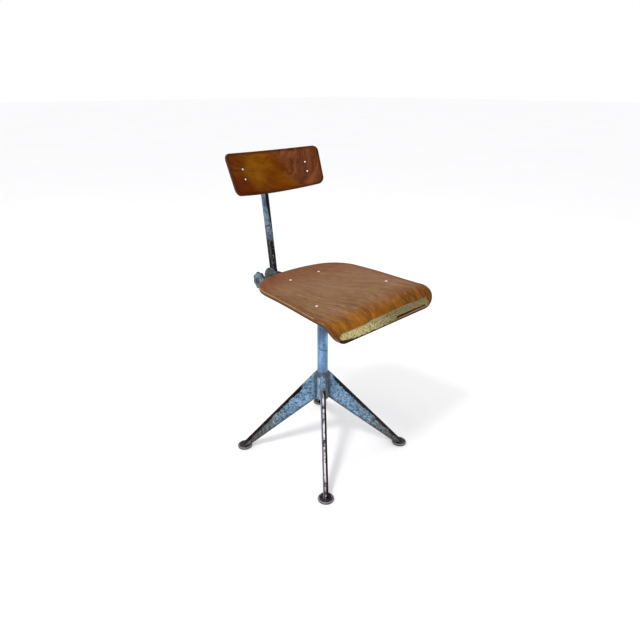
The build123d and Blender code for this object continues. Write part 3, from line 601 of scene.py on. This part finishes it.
def disc_steel(leg):
    """Dark oxidised steel of one foot, near black round the leg as painted shade, with a painted
    highlight on the top rim and a painted contact shadow along the bottom edge.
    """
    f = Finish("foot_steel_" + leg)
    low_corner, high_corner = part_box("foot_disc_" + leg)
    middle = (low_corner + high_corner) / 2
    x, y, z = f.split(f.place)
    off_x = f.minus(x, middle.x)
    off_y = f.minus(y, middle.y)
    out = f.math("SQRT", f.plus(f.times(off_x, off_x), f.times(off_y, off_y)))
    top = high_corner.z
    fine = f.noise(0.003, detail=5.0, roughness=0.7)
    slow = f.noise(0.02, detail=3.0)
    base = f.mix(f.band(slow, 0.35, 0.65), (34, 34, 38), (70, 68, 74))
    flecks = f.band(f.noise(0.006, roughness=0.7), 0.54, 0.62)
    base = f.over(base, (150, 146, 150), flecks, 0.75)
    uneven = f.wander(out, fine, 0.004)
    # Painted shade: near black round the leg's end.
    base = f.veil(base, (30, 27, 30), uneven, 0.0165, 0.0145, 0.75)
    # Painted highlight on the top rim.
    rim = f.both(f.band(uneven, 0.0178, 0.0192), f.band(z, top - 0.0018, top - 0.0010))
    base = f.over(base, (146, 140, 144), rim, 0.7)
    side = f.both(f.band(z, 0.0012, 0.0020), f.band(z, top - 0.0016, top - 0.0024))
    base = f.over(base, (26, 26, 30), side, 0.6)
    # Painted contact shadow along the bottom edge.
    low = f.band(z, 0.0018, 0.0012)
    base = f.over(base, (40, 36, 46), low, 0.8)
    return f.done(base, f.scaled(fine, 0.3, 0.35), fine, depth=0.15 * MM, specular=0.12)


def post_finish():
    """Blue-grey enamel above the clamp's reach, rubbed to dark steel where the post slides, with painted
    shade and painted glints on the front face.
    """
    f = Finish("post_enamel")
    x, y, z = f.split(f.place)
    paint, chipped, rusty, fine = enamel_layers(f, f.place, (124, 144, 162), (68, 86, 104),
                                                (30, 30, 34), 0.475)
    ragged = f.wander(z, f.noise(0.012), 0.012)
    bare = f.band(ragged, *POST_BARE)
    steel = f.mix(f.band(fine, 0.35, 0.7), (22, 17, 17), (48, 40, 39))
    specks = f.band(f.noise(0.005, detail=6.0, roughness=0.75), 0.56, 0.60)
    facing = f.split(f.node("ShaderNodeTexCoord").outputs["Normal"])[1]
    front_face = f.band(facing, -0.4, -0.7)
    slanting = f.scaled(f.minus(z, 0.625), 0.11, f.minus(x, 0.0035))
    shaded = f.both(front_face, f.band(f.wander(slanting, fine, 0.004), -0.001, 0.001))
    steel = f.over(steel, (150, 152, 158), specks, 0.6)
    colour = f.over(paint, rusty, chipped, 0.75)
    slant = f.scaled(x, 0.9, f.scaled(y, 0.35, z))
    centre = POST_SCRATCH[1] + 0.35 * (SHIFT_Y + POST_SCRATCH[0])
    scratch = f.band(f.absolute(f.minus(slant, centre)), 0.0022, 0.0012)
    in_reach = f.both(f.band(z, 0.600, 0.606), f.band(z, 0.628, 0.620))
    small = f.both(f.band(f.noise(0.008, detail=2.0), 0.60, 0.64), in_reach)
    colour = f.mix(f.either(scratch, small), colour, (42, 42, 48))
    colour = f.over(colour, (5, 7, 13), shaded, 0.95)
    glints = f.both(front_face, f.band(f.noise(0.0055, roughness=0.7), 0.57, 0.62))
    # Painted shade: the bare steel's front face laid almost black, with painted glints over it.
    steel = f.over(steel, (8, 8, 12), front_face, 0.85)
    steel = f.over(steel, (150, 156, 168), glints, 0.8)
    colour = f.mix(bare, colour, steel)
    relief = f.minus(f.times(fine, 0.4), f.either(chipped, scratch))
    rough = f.scaled(fine, 0.25, 0.35)
    return f.done(colour, rough, relief, depth=0.15 * MM, specular=0.06)


def grimy_enamel(name, light, dark, rim_shade=0.0):
    """Greasy blue-grey enamel of the knob, clamp and frame under the seat, with painted shade on the rim
    faces.
    """
    f = Finish(name)
    paint, chipped, rusty, fine = enamel_layers(f, f.place, light, dark, (34, 32, 30), 0.47)
    colour = f.over(paint, rusty, chipped, 0.8)
    grease = f.noise(0.014, roughness=0.6)
    colour = f.veil(colour, (44, 52, 54), grease, 0.48, 0.6, 0.6)
    sideways = f.absolute(f.split(f.node("ShaderNodeTexCoord").outputs["Normal"])[0])
    # Painted shade on the rim faces.
    rim = f.times(f.band(sideways, 0.9, 0.5), rim_shade)
    colour = f.mix(rim, colour, (34, 38, 46))
    relief = f.minus(f.times(fine, 0.5), chipped)
    return f.done(colour, f.scaled(fine, 0.3, 0.35), relief, depth=0.2 * MM, specular=0.15)


def turned_steel(name, light, dark):
    """Oiled bare steel or bronze with fine turning marks and tarnish."""
    f = Finish(name)
    marks = f.noise(1.0, f.mapped(f.place, scale=(60, 60, 2600)), detail=2.0)
    fine = f.noise(0.002, detail=5.0, roughness=0.7)
    slow = f.noise(0.015, detail=3.0)
    colour = f.mix(f.band(slow, 0.35, 0.7), dark, light)
    colour = f.veil(colour, (70, 62, 56), fine, 0.55, 0.75, 0.5)
    return f.done(colour, f.scaled(marks, 0.2, 0.28), marks, depth=0.05 * MM, metallic=0.85)


def rivet_metal():
    """Bright rubbed aluminium with tiny dents and a dirty rim."""
    f = Finish("rivet_metal")
    fine = f.noise(0.0012)
    slow = f.noise(0.004, detail=3.0)
    colour = f.mix(f.band(fine, 0.4, 0.7), (246, 230, 222), (214, 192, 184))
    colour = f.veil(colour, (150, 120, 104), slow, 0.6, 0.8, 0.3)
    return f.done(colour, f.scaled(fine, 0.2, 0.35), fine, depth=0.05 * MM, metallic=0.45)


# ---- bent plywood
def spaced(start, end, step, fine_places=(), reach=0.0, fine_step=1.0):
    """Places from start to end, a step apart, and closer together near some of them."""
    places = [start]
    while places[-1] < end - 1e-9:
        here = places[-1]
        near = any(abs(here - spot) < reach for spot in fine_places)
        ahead = [spot - reach for spot in fine_places if here < spot - reach < here + step]
        places.append(min([here + (fine_step if near else step), end] + ahead))
    return places


def crossing(points, half_width):
    """From half an outline, where each share of the half width meets it."""
    shares = np.array([x / half_width(v) for x, v in points])
    values = np.array([v for _, v in points])
    order = np.argsort(shares)
    return lambda share: float(np.interp(abs(share), shares[order], values[order]))


def seat_half_width(run, inset=0.0):
    """Half the seat's width at a place along the bent sheet."""
    return SEAT_HALF_WIDTH - inset - SEAT_TAPER * (max(run, SEAT_FRONT) - SEAT_FRONT)


def seat_rear_outline(inset):
    """Right half of the bowed rear edge and its corner, from the middle outwards."""
    rear = SEAT_REAR - inset
    bow = SEAT_REAR_RADIUS - inset
    corner = SEAT_REAR_CORNER - inset
    slant = math.hypot(1, SEAT_TAPER)
    bow_y = rear - bow
    level = SEAT_HALF_WIDTH - inset + SEAT_TAPER * SEAT_FRONT - corner * slant
    b = -2 * (level * SEAT_TAPER + bow_y)
    c = level * level + bow_y * bow_y - (bow - corner) ** 2
    corner_y = (-b + math.sqrt(b * b - 4 * slant * slant * c)) / (2 * slant * slant)
    corner_x = level - SEAT_TAPER * corner_y
    meet = math.atan2(corner_y - bow_y, corner_x)
    points = []
    for i in range(25):
        turn = math.pi / 2 + (meet - math.pi / 2) * i / 24
        points.append((bow * math.cos(turn), bow_y + bow * math.sin(turn)))
    last = math.atan(SEAT_TAPER)
    for i in range(1, 61):
        turn = meet + (last - meet) * i / 60
        points.append((corner_x + corner * math.cos(turn), corner_y + corner * math.sin(turn)))
    return points


def seat_front_outline(inset):
    """Right half of the lip's lower edge and its corner, from the middle outwards."""
    wide = LIP_CORNER[0] - inset
    long = LIP_CORNER[1] - inset
    end = LIP_END + inset
    points = [(0.0, end)]
    for i in range(61):
        turn = math.pi / 2 * i / 60
        run = end + long * (1 - math.cos(turn))
        points.append((seat_half_width(run, inset) - wide * (1 - math.sin(turn)), run))
    return points


def seat_place(x, run, depth):
    """Point of the seat's bent sheet, as the CAD shell has it."""
    side = (x / SEAT_HALF_WIDTH) ** 2
    if run >= ROLL_START:
        share = min(1.0, max(0.0, (run - ROLL_START) / -ROLL_START))
        rise = SEAT_DISH_FRONT + (SEAT_DISH_REAR - SEAT_DISH_FRONT) * share * share * (3 - 2 * share)
        return Vector((x, run + SHIFT_Y, SEAT_TOP - depth + rise * side))
    quarter = SEAT_ROLL * math.pi / 2
    turned = min(ROLL_START - run, quarter) / SEAT_ROLL
    down = max(0.0, ROLL_START - run - quarter)
    radius = SEAT_ROLL - depth
    y = ROLL_START - radius * math.sin(turned)
    z = SEAT_TOP - SEAT_ROLL + radius * math.cos(turned) - down
    return Vector((x, y + SHIFT_Y, z + SEAT_DISH_FRONT * side * math.cos(turned)))


def back_half_width(height, inset=0.0):
    """Half the backrest's arc at a height on the bent sheet."""
    return BACK_HALF_ARC - inset + BACK_TAPER * height / BACK_HALF_HEIGHT


def back_edge_outline(sign, inset):
    """Right half of the top or bottom edge with its corner, from the middle outwards."""
    crown = BACK_TOP_CROWN if sign > 0 else BACK_BOTTOM_CROWN
    high = BACK_HALF_HEIGHT - inset
    corner = BACK_CORNER - inset
    points = []
    for i in range(61):
        x = (back_half_width(sign * high, inset) - corner) * i / 60
        points.append((x, sign * (high + crown * (1 - (x / BACK_HALF_ARC) ** 2))))
    middle = points[-1][1] - sign * corner
    for i in range(1, 31):
        turn = math.pi / 2 * i / 30
        v = middle + sign * corner * math.cos(turn)
        points.append((back_half_width(v, inset) - corner + corner * math.sin(turn), v))
    return points


def back_place(arc, height, depth):
    """Point of the backrest's bent sheet, as the CAD shell has it."""
    turn = arc / BACK_RADIUS
    reach = BACK_RADIUS + depth
    x = reach * math.sin(turn)
    y = reach * math.cos(turn) - BACK_RADIUS
    cos, sin = math.cos(BACK_RECLINE), math.sin(BACK_RECLINE)
    return Vector((x, BACK_Y + SHIFT_Y + y * cos + height * sin, BACK_Z - y * sin + height * cos))


def rim_loop(rows, columns):
    """Grid places round the rim, each once."""
    loop = [(0, j) for j in range(columns)]
    loop += [(i, columns - 1) for i in range(1, rows)]
    loop += [(rows - 1, j) for j in range(columns - 2, -1, -1)]
    return loop + [(i, 0) for i in range(rows - 2, 0, -1)]


def edge_profile(thickness, soft):
    """Way round the cut edge from the top face: (outwards, down), with both arrises softened."""
    curve = [(math.sin(a), 1 - math.cos(a)) for a in (math.pi / 6, math.pi / 3, math.pi / 2)]
    profile = [(soft * out, soft * down) for out, down in curve]
    profile += [(soft, thickness * share) for share in (0.3, 0.5, 0.7)]
    return profile + [(soft * out, thickness - soft * down) for out, down in reversed(curve)]


def sheet_faces(top, bottom, rings):
    """Faces of a sheet's two sides, and of its edge between rings."""
    faces = []
    for i in range(len(top) - 1):
        for j in range(len(top[0]) - 1):
            faces.append((top[i][j], top[i][j + 1], top[i + 1][j + 1], top[i + 1][j]))
            faces.append((bottom[i][j], bottom[i + 1][j], bottom[i + 1][j + 1], bottom[i][j + 1]))
    count = len(rings[0])
    for upper, lower in zip(rings[:-1], rings[1:]):
        for k in range(count):
            n = (k + 1) % count
            faces.append((upper[n], upper[k], lower[k], lower[n]))
    return faces


def keep_marks(mesh, marks):
    """Each point's place on the blank and its marks, as attributes that the finishes read."""
    data = np.array(marks, np.float32)
    blank = np.column_stack([data[:, 0], data[:, 1], np.zeros(len(data))]).astype(np.float32)
    mesh.attributes.new("blank", "FLOAT_VECTOR", "POINT").data.foreach_set("vector", blank.ravel())
    for column, key in enumerate(("depth", "edge", "rim", "torn", "crack", "recess"), 2):
        mesh.attributes.new(key, "FLOAT", "POINT").data.foreach_set("value", data[:, column].copy())


def linked(name, data):
    """Object of a mesh, light or camera, in the scene."""
    made = bpy.data.objects.new(name, data)
    bpy.context.scene.collection.objects.link(made)
    return made


def bent_sheet(name, grid, place, thickness, soft, carve):
    """Closed shell on a grid of blank places, with softened edges. carve gives depth and marks."""
    loop = rim_loop(len(grid), len(grid[0]))
    border = np.array([grid[i][j] for i, j in loop])
    ahead = np.roll(border, -1, axis=0) - np.roll(border, 1, axis=0)
    outward = np.stack([ahead[:, 1], -ahead[:, 0]], 1)
    outward /= np.maximum(np.linalg.norm(outward, axis=1), 1e-12)[:, None]
    verts, marks = [], []

    def add(x, v, depth, edge, extra):
        verts.append(place(x, v, depth))
        inside = np.min(np.hypot(border[:, 0] - x, border[:, 1] - v)) if edge == 0 else 0.0
        marks.append((x, v, depth / thickness, edge, inside, *extra))
        return len(verts) - 1

    def face_grid(depth, sign):
        made = []
        for line in grid:
            ids = []
            for x, v in line:
                cut, extra = carve(x, v) if sign > 0 else (0.0, (0.0, 0.0, 0.0))
                ids.append(add(x, v, depth + cut, 0.0, extra))
            made.append(ids)
        return made

    top = face_grid(0.0, 1)
    bottom = face_grid(thickness, -1)
    rings = [[top[i][j] for i, j in loop]]
    for out, depth in edge_profile(thickness, soft):
        ring = []
        for (x, v), way in zip(border, outward):
            ring.append(add(x + way[0] * out, v + way[1] * out, depth, out / soft, (0.0, 0.0, 0.0)))
        rings.append(ring)
    rings.append([bottom[i][j] for i, j in loop])
    mesh = bpy.data.meshes.new(name)
    mesh.from_pydata(verts, [], sheet_faces(top, bottom, rings))
    keep_marks(mesh, marks)
    mesh.polygons.foreach_set("use_smooth", [True] * len(mesh.polygons))
    mesh.validate()
    mesh.update()
    return linked(name, mesh)


def column_shares(half_width, step, first=0.6 * MM, fine_places=(), reach=0.0, fine_step=1.0):
    """Shares of the half width, closer together towards the sides where the corners are."""
    side = []
    here = 0.0
    gap = first
    while gap < step:
        side.append(here)
        here += gap
        gap *= 1.35
    inner = spaced(-half_width + here, half_width - here, step, fine_places, reach, fine_step)
    places = [-half_width + d for d in side] + inner + [half_width - d for d in reversed(side)]
    return [place / half_width for place in places]


def smooth(value, low, high):
    """0 below low, 1 above high, smooth between."""
    share = min(1.0, max(0.0, (value - low) / (high - low)))
    return share * share * (3 - 2 * share)


def seat_wear(x, run):
    """Torn veneer along the lip: how deep, and the marks (torn, crack, recess) for the finish."""
    up = run - LIP_END
    rough = noise.noise(Vector((x * 55, run * 40, 1.7)))
    coarse = noise.noise(Vector((x * 14, 3.1, 0.4)))
    high = np.interp(x, TORN_TOP[0], TORN_TOP[1]) + (0.8 * coarse + 0.9 * rough) * MM
    low = (2.4 + 0.9 * rough + 0.6 * coarse) * MM
    right = smooth(x, 0.029, 0.033) * (1 - smooth(x, 0.141, 0.146))
    low += right * (10.4 * MM - 0.6 * rough * MM) + smooth(-x, 0.128, 0.158) * 9.0 * MM
    rounding = 5.0 * MM * smooth(up, 16.0 * MM, 27.0 * MM) + 4.0 * MM * smooth(-up, -9.0 * MM, -2.0 * MM)
    ends = 1.0 - smooth(abs(x + 0.004) + 2.4 * rough * MM + rounding, 0.160, 0.163)
    torn = ends * smooth(up, low, low + 0.8 * MM) * (1 - smooth(up, high, high + 0.8 * MM))
    thick = (4.4 - 2.2 * smooth(x, 0.05, 0.13)) * MM
    sliver = right * smooth(up, low - thick, low - thick + 0.5 * MM)
    sliver *= 1 - smooth(up, low - 0.2 * MM, low + 0.6 * MM)
    tan = right * smooth(up, 4.8 * MM, 5.6 * MM)
    tan *= 1 - smooth(up, low - thick - 0.2 * MM, low - thick + 0.4 * MM)
    nick = noise.noise(Vector((x * 150, 0.0, 7.7)))
    fray = (1 - right) * ends * smooth(nick, 0.24, 0.3) * (1 - smooth(up, low + 1.5 * MM, low + 4.0 * MM))
    crack = min(1.0, sliver + 0.8 * fray * smooth(up, 0.5 * MM, 1.5 * MM))
    return 0.7 * MM * torn + 0.5 * MM * sliver, (torn, crack, tan)


def back_wear(arc, height):
    """Counterbores round the rivets: how deep, and the marks (torn, crack, recess)."""
    near = math.hypot(abs(arc) - BACK_RIVETS[0], abs(height) - BACK_RIVETS[1])
    sunk = 1 - smooth(near, BACK_RECESS - 0.4 * MM, BACK_RECESS + 0.3 * MM)
    # The ring mark is where the backrest's finish paints shade round the counterbore.
    ring = 1 - smooth(near, BACK_RECESS + 0.3 * MM, BACK_RECESS + 1.6 * MM)
    return 0.8 * MM * sunk, (0.0, 0.0, ring)


def seat_piece():
    """The seat's bent plywood, on a grid that is finer along the torn front edge."""
    soft = 2.2 * MM
    rear = crossing(seat_rear_outline(soft), lambda v: seat_half_width(v, soft))
    front = crossing(seat_front_outline(soft), lambda v: seat_half_width(v, soft))
    shares = column_shares(SEAT_HALF_WIDTH - soft, 5.0 * MM)
    near = spaced(0.0, LIP_GRID, 2.6 * MM, (3 * MM, 10 * MM, 31 * MM), 4.5 * MM, 0.8 * MM)
    far = [i / 34 for i in range(1, 35)]
    grid = []
    for distance in near:
        grid.append([(front(s) + distance, s) for s in shares])
    for share in far:
        grid.append([(front(s) + LIP_GRID + (rear(s) - front(s) - LIP_GRID) * share, s) for s in shares])
    grid = [[(s * seat_half_width(v, soft), v) for v, s in line] for line in grid]
    return bent_sheet("seat_plywood", grid, seat_place, SEAT_PLY, soft, seat_wear)


def back_piece():
    """The backrest's bent plywood, on a grid that is finer round the rivets."""
    soft = 1.6 * MM
    top = crossing(back_edge_outline(1, soft), lambda v: back_half_width(v, soft))
    bottom = crossing(back_edge_outline(-1, soft), lambda v: back_half_width(v, soft))
    arc, rise = BACK_RIVETS
    reach = 6.2 * MM
    shares = column_shares(BACK_HALF_ARC - soft, 5.0 * MM, 0.6 * MM, (-arc, arc), reach, 0.7 * MM)
    middle = spaced(-BACK_GRID, BACK_GRID, 4.0 * MM, (-rise, rise), reach, 0.7 * MM)
    outer = [i / 6 for i in range(1, 7)]
    grid = []
    for share in reversed(outer):
        grid.append([(-BACK_GRID + (bottom(s) + BACK_GRID) * share, s) for s in shares])
    for height in middle:
        grid.append([(height, s) for s in shares])
    for share in outer:
        grid.append([(BACK_GRID + (top(s) - BACK_GRID) * share, s) for s in shares])
    grid = [[(s * back_half_width(v, soft), v) for v, s in line] for line in grid]
    return bent_sheet("backrest_plywood", grid, back_place, BACK_PLY, soft, back_wear)


# ---- small pieces
def lathe(profile, steps=32):
    """Mesh turned about Z from (radius, height) pairs. The first and last lie on the axis."""
    verts = [(0, 0, profile[0][1])]
    rings = []
    for radius, height in profile[1:-1]:
        rings.append(range(len(verts), len(verts) + steps))
        for i in range(steps):
            turn = 2 * math.pi * i / steps
            verts.append((radius * math.cos(turn), radius * math.sin(turn), height))
    verts.append((0, 0, profile[-1][1]))
    faces = []
    for i in range(steps):
        n = (i + 1) % steps
        faces.append((0, rings[0][n], rings[0][i]))
        for a, b in zip(rings[:-1], rings[1:]):
            faces.append((a[i], a[n], b[n], b[i]))
        faces.append((rings[-1][i], rings[-1][n], len(verts) - 1))
    return verts, faces


def merged(name, shapes):
    """One piece from several (verts, faces, matrix)."""
    verts, faces = [], []
    for shape_verts, shape_faces, matrix in shapes:
        base = len(verts)
        verts += [matrix @ Vector(v) for v in shape_verts]
        faces += [tuple(base + i for i in face) for face in shape_faces]
    mesh = bpy.data.meshes.new(name)
    mesh.from_pydata(verts, [], faces)
    mesh.polygons.foreach_set("use_smooth", [True] * len(mesh.polygons))
    mesh.update()
    return linked(name, mesh)


def dome(radius, height, sink):
    """Domed rivet head that starts below the surface it sits in."""
    profile = [(0, -sink), (radius, -sink), (radius, 0.0)]
    for i in range(1, 7):
        turn = math.pi / 2 * i / 6
        profile.append((radius * math.cos(turn), height * math.sin(turn)))
    profile[-1] = (0, height)
    return lathe(profile)


def standing(point, normal):
    """Matrix that puts local Z along a normal at a point."""
    return Matrix.Translation(point) @ Vector(normal).to_track_quat("Z", "Y").to_matrix().to_4x4()


def back_rivet_domes():
    """Domed heads of the backrest's four rivets, in their counterbores."""
    verts, faces = dome(2.6 * MM, 1.5 * MM, 0.2 * MM)
    shapes = []
    for side in (-1, 1):
        for rise in (-1, 1):
            arc, height = side * BACK_RIVETS[0], rise * BACK_RIVETS[1]
            point = back_place(arc, height, -0.4 * MM)
            shapes.append((verts, faces, standing(point, point - back_place(arc, height, 5 * MM))))
    return merged("backrest_rivet_domes", shapes)


def weld_seam(path, radius, seed):
    """Rippled weld bead along a list of points: a tube with uneven rings."""
    steps = 8
    verts, faces = [], []
    count = len(path)
    for i, point in enumerate(path):
        before = path[max(0, i - 1)]
        after = path[min(count - 1, i + 1)]
        way = (after - before).normalized().to_track_quat("Z", "Y").to_matrix()
        ripple = 1.0 + 0.16 * math.sin(i * 2.1) + 0.22 * noise.noise(point * 220 + Vector((seed, 0, 0)))
        taper = min(1.0, 0.35 + 0.25 * min(i, count - 1 - i))
        for k in range(steps):
            turn = 2 * math.pi * k / steps
            ring = Vector((math.cos(turn), math.sin(turn), 0)) * radius * ripple * taper
            verts.append(point + way @ ring)
    for i in range(count - 1):
        for k in range(steps):
            n = (k + 1) % steps
            faces.append((i * steps + k, i * steps + n, (i + 1) * steps + n, (i + 1) * steps + k))
    faces.append(tuple(reversed(range(steps))))
    faces.append(tuple(range((count - 1) * steps, count * steps)))
    return verts, faces


def hub_welds():
    """Beads where the legs meet the hub: up both flanks and over each shoulder."""
    still = Matrix.Identity(4)
    shapes = []
    half = 7.0 * MM
    for index in range(4):
        turn = math.radians(FIRST_LEG_ANGLE + 90 * index)
        out = Vector((math.cos(turn), math.sin(turn), 0))
        side = Vector((-math.sin(turn), math.cos(turn), 0))
        reach = math.sqrt(HUB_RADIUS ** 2 - half ** 2)
        for sign in (-1, 1):
            corner = Vector((0, SHIFT_Y, 0)) + out * (reach + 0.3 * MM) + side * sign * half
            path = []
            low, high = HUB_LOW.z + 10 * MM, HUB_HIGH.z - 4 * MM
            steps = 36
            for i in range(steps + 1):
                z = low + (high - low) * i / steps
                path.append(corner + Vector((0, 0, z)))
            shapes.append((*weld_seam(path, 1.5 * MM, index * 2 + sign), still))
        path = []
        for i in range(13):
            across = (i / 6 - 1) * half
            bulge = out * (math.sqrt(HUB_RADIUS ** 2 - across ** 2) + 0.4 * MM)
            path.append(Vector((0, SHIFT_Y, HUB_HIGH.z - 0.4 * MM)) + bulge + side * across)
        shapes.append((*weld_seam(path, 1.7 * MM, index + 20), still))
    return merged("hub_weld_seams", shapes)


def collar_weld():
    """Rippled ring round the column on the hub's top edge."""
    path = []
    radius = (COLUMN_RADIUS + HUB_RADIUS) / 2
    for i in range(73):
        turn = 2 * math.pi * i / 72
        lift = 0.5 * MM * noise.noise(Vector((math.cos(turn) * 3, math.sin(turn) * 3, 5.0)))
        height = HUB_HIGH.z + 0.6 * MM + lift
        path.append(Vector((radius * math.cos(turn), SHIFT_Y + radius * math.sin(turn), height)))
    return merged("column_weld_ring", [(*weld_seam(path, 1.7 * MM, 3.0), Matrix.Identity(4))])


# ---- put together
def paint(node, material):
    """Gives a CAD node its finish."""
    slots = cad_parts[node].data.materials
    slots.clear()
    slots.append(material)


def dress(piece, body, slot, material, *replaced):
    """Gives a new piece its finish and its body, and hides the CAD nodes that it stands for. The slot is
    not used.
    """
    piece.data.materials.append(material)
    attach(piece, body)
    if replaced:
        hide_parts(*replaced)


def finish_cad(rivet_finish, weld_finish):
    """Better materials for the CAD nodes that stay."""
    for index, leg in enumerate(LEGS):
        paint("leg_" + leg, leg_paint(leg, FIRST_LEG_ANGLE + 90 * index, *LEG_WEAR[leg]))
        paint("foot_disc_" + leg, disc_steel(leg))
    paint("column_tube", column_paint())
    paint("hub_socket", hub_paint())
    paint("hub_weld_bead", weld_finish)
    paint("back_post", post_finish())
    frame_enamel = grimy_enamel("frame_enamel", (70, 80, 88), (40, 48, 54))
    knob_enamel = grimy_enamel("knob_enamel", (116, 138, 148), (64, 84, 94), 0.8)
    clamp_enamel = grimy_enamel("clamp_enamel", (92, 98, 94), (52, 60, 62))
    paint("tilt_knob", knob_enamel)
    for node in ("clamp_disc", "bolt_spacer", "clamp_block"):
        paint(node, clamp_enamel)
    for node in ("seat_spine", "crossbar_front", "crossbar_rear", "hub_plate", "hub_tube",
                 "backrest_strap", "backrest_clevis"):
        paint(node, frame_enamel)
    oiled = turned_steel("oiled_steel", (150, 150, 152), (104, 102, 102))
    for node in ("spindle", "spindle_stop_ring", "height_collar", "collar_screw", "pivot_bolt",
                 "knob_washer", "backrest_pin"):
        paint(node, oiled)
    bronze = turned_steel("oiled_bronze", (168, 130, 84), (112, 84, 54))
    paint("column_bush", bronze)
    paint("thrust_washer", bronze)
    paint("seat_rivets", rivet_finish)
    paint("backrest_rivets", weld_finish)


def floor():
    """Seamless pale studio floor."""
    mesh = bpy.data.meshes.new("studio_floor")
    half = FLOOR_HALF
    corners = [(-half, -half, 0), (half, -half, 0), (half, half, 0), (-half, half, 0)]
    mesh.from_pydata(corners, [], [(0, 1, 2, 3)])
    piece = linked("studio_floor", mesh)
    f = Finish("studio_paper")
    tone = f.mix(f.noise(1.2, detail=2.0), (252, 252, 253), (248, 248, 250))
    piece.data.materials.append(f.done(tone, 0.9, specular=0.1))


def key_light():
    """Soft lamp high on the left, aimed at the origin."""
    lamp = bpy.data.lights.new("key", "AREA")
    lamp.shape = "RECTANGLE"
    lamp.size = KEY_SIZE
    lamp.size_y = KEY_SIZE
    lamp.energy = KEY_POWER
    lamp.color = KEY_COLOUR
    key = linked("key", lamp)
    key.location = KEY_PLACE
    key.rotation_euler = (-Vector(KEY_PLACE)).to_track_quat("-Z", "Y").to_euler()


def studio():
    """Soft white surroundings and one key light."""
    world = bpy.data.worlds.new("studio")
    world.use_nodes = True
    sky = world.node_tree.nodes["Background"]
    sky.inputs[0].default_value = (1.0, 1.0, 1.0, 1.0)
    sky.inputs[1].default_value = 1.0
    bpy.context.scene.world = world
    key_light()


def camera():
    """View from the front left of the chair, a little above its backrest."""
    lens = bpy.data.cameras.new("camera")
    lens.lens = CAMERA_LENS
    lens.sensor_width = CAMERA_SENSOR
    lens.clip_end = 100
    eye = linked("camera", lens)
    x, y, z = CAMERA_PLACE
    eye.location = (x, y + SHIFT_Y, z)
    eye.rotation_euler = (math.radians(CAMERA_TILT), 0, math.radians(CAMERA_TURN))
    bpy.context.scene.camera = eye


camera()
studio()
floor()
rivet_finish = rivet_metal()
weld_finish = weld_metal()
finish_cad(rivet_finish, weld_finish)
dress(seat_piece(), "seat", "plywood", seat_wood(), "seat_shell")
dress(back_piece(), "backrest", "plywood", back_wood(), "backrest_shell")
dress(back_rivet_domes(), "backrest", "rivet_metal", rivet_finish)
dress(hub_welds(), "base", "blue_paint", weld_finish)
dress(collar_weld(), "base", "blue_paint", weld_finish)
bpy.context.scene.view_settings.view_transform = "Standard"
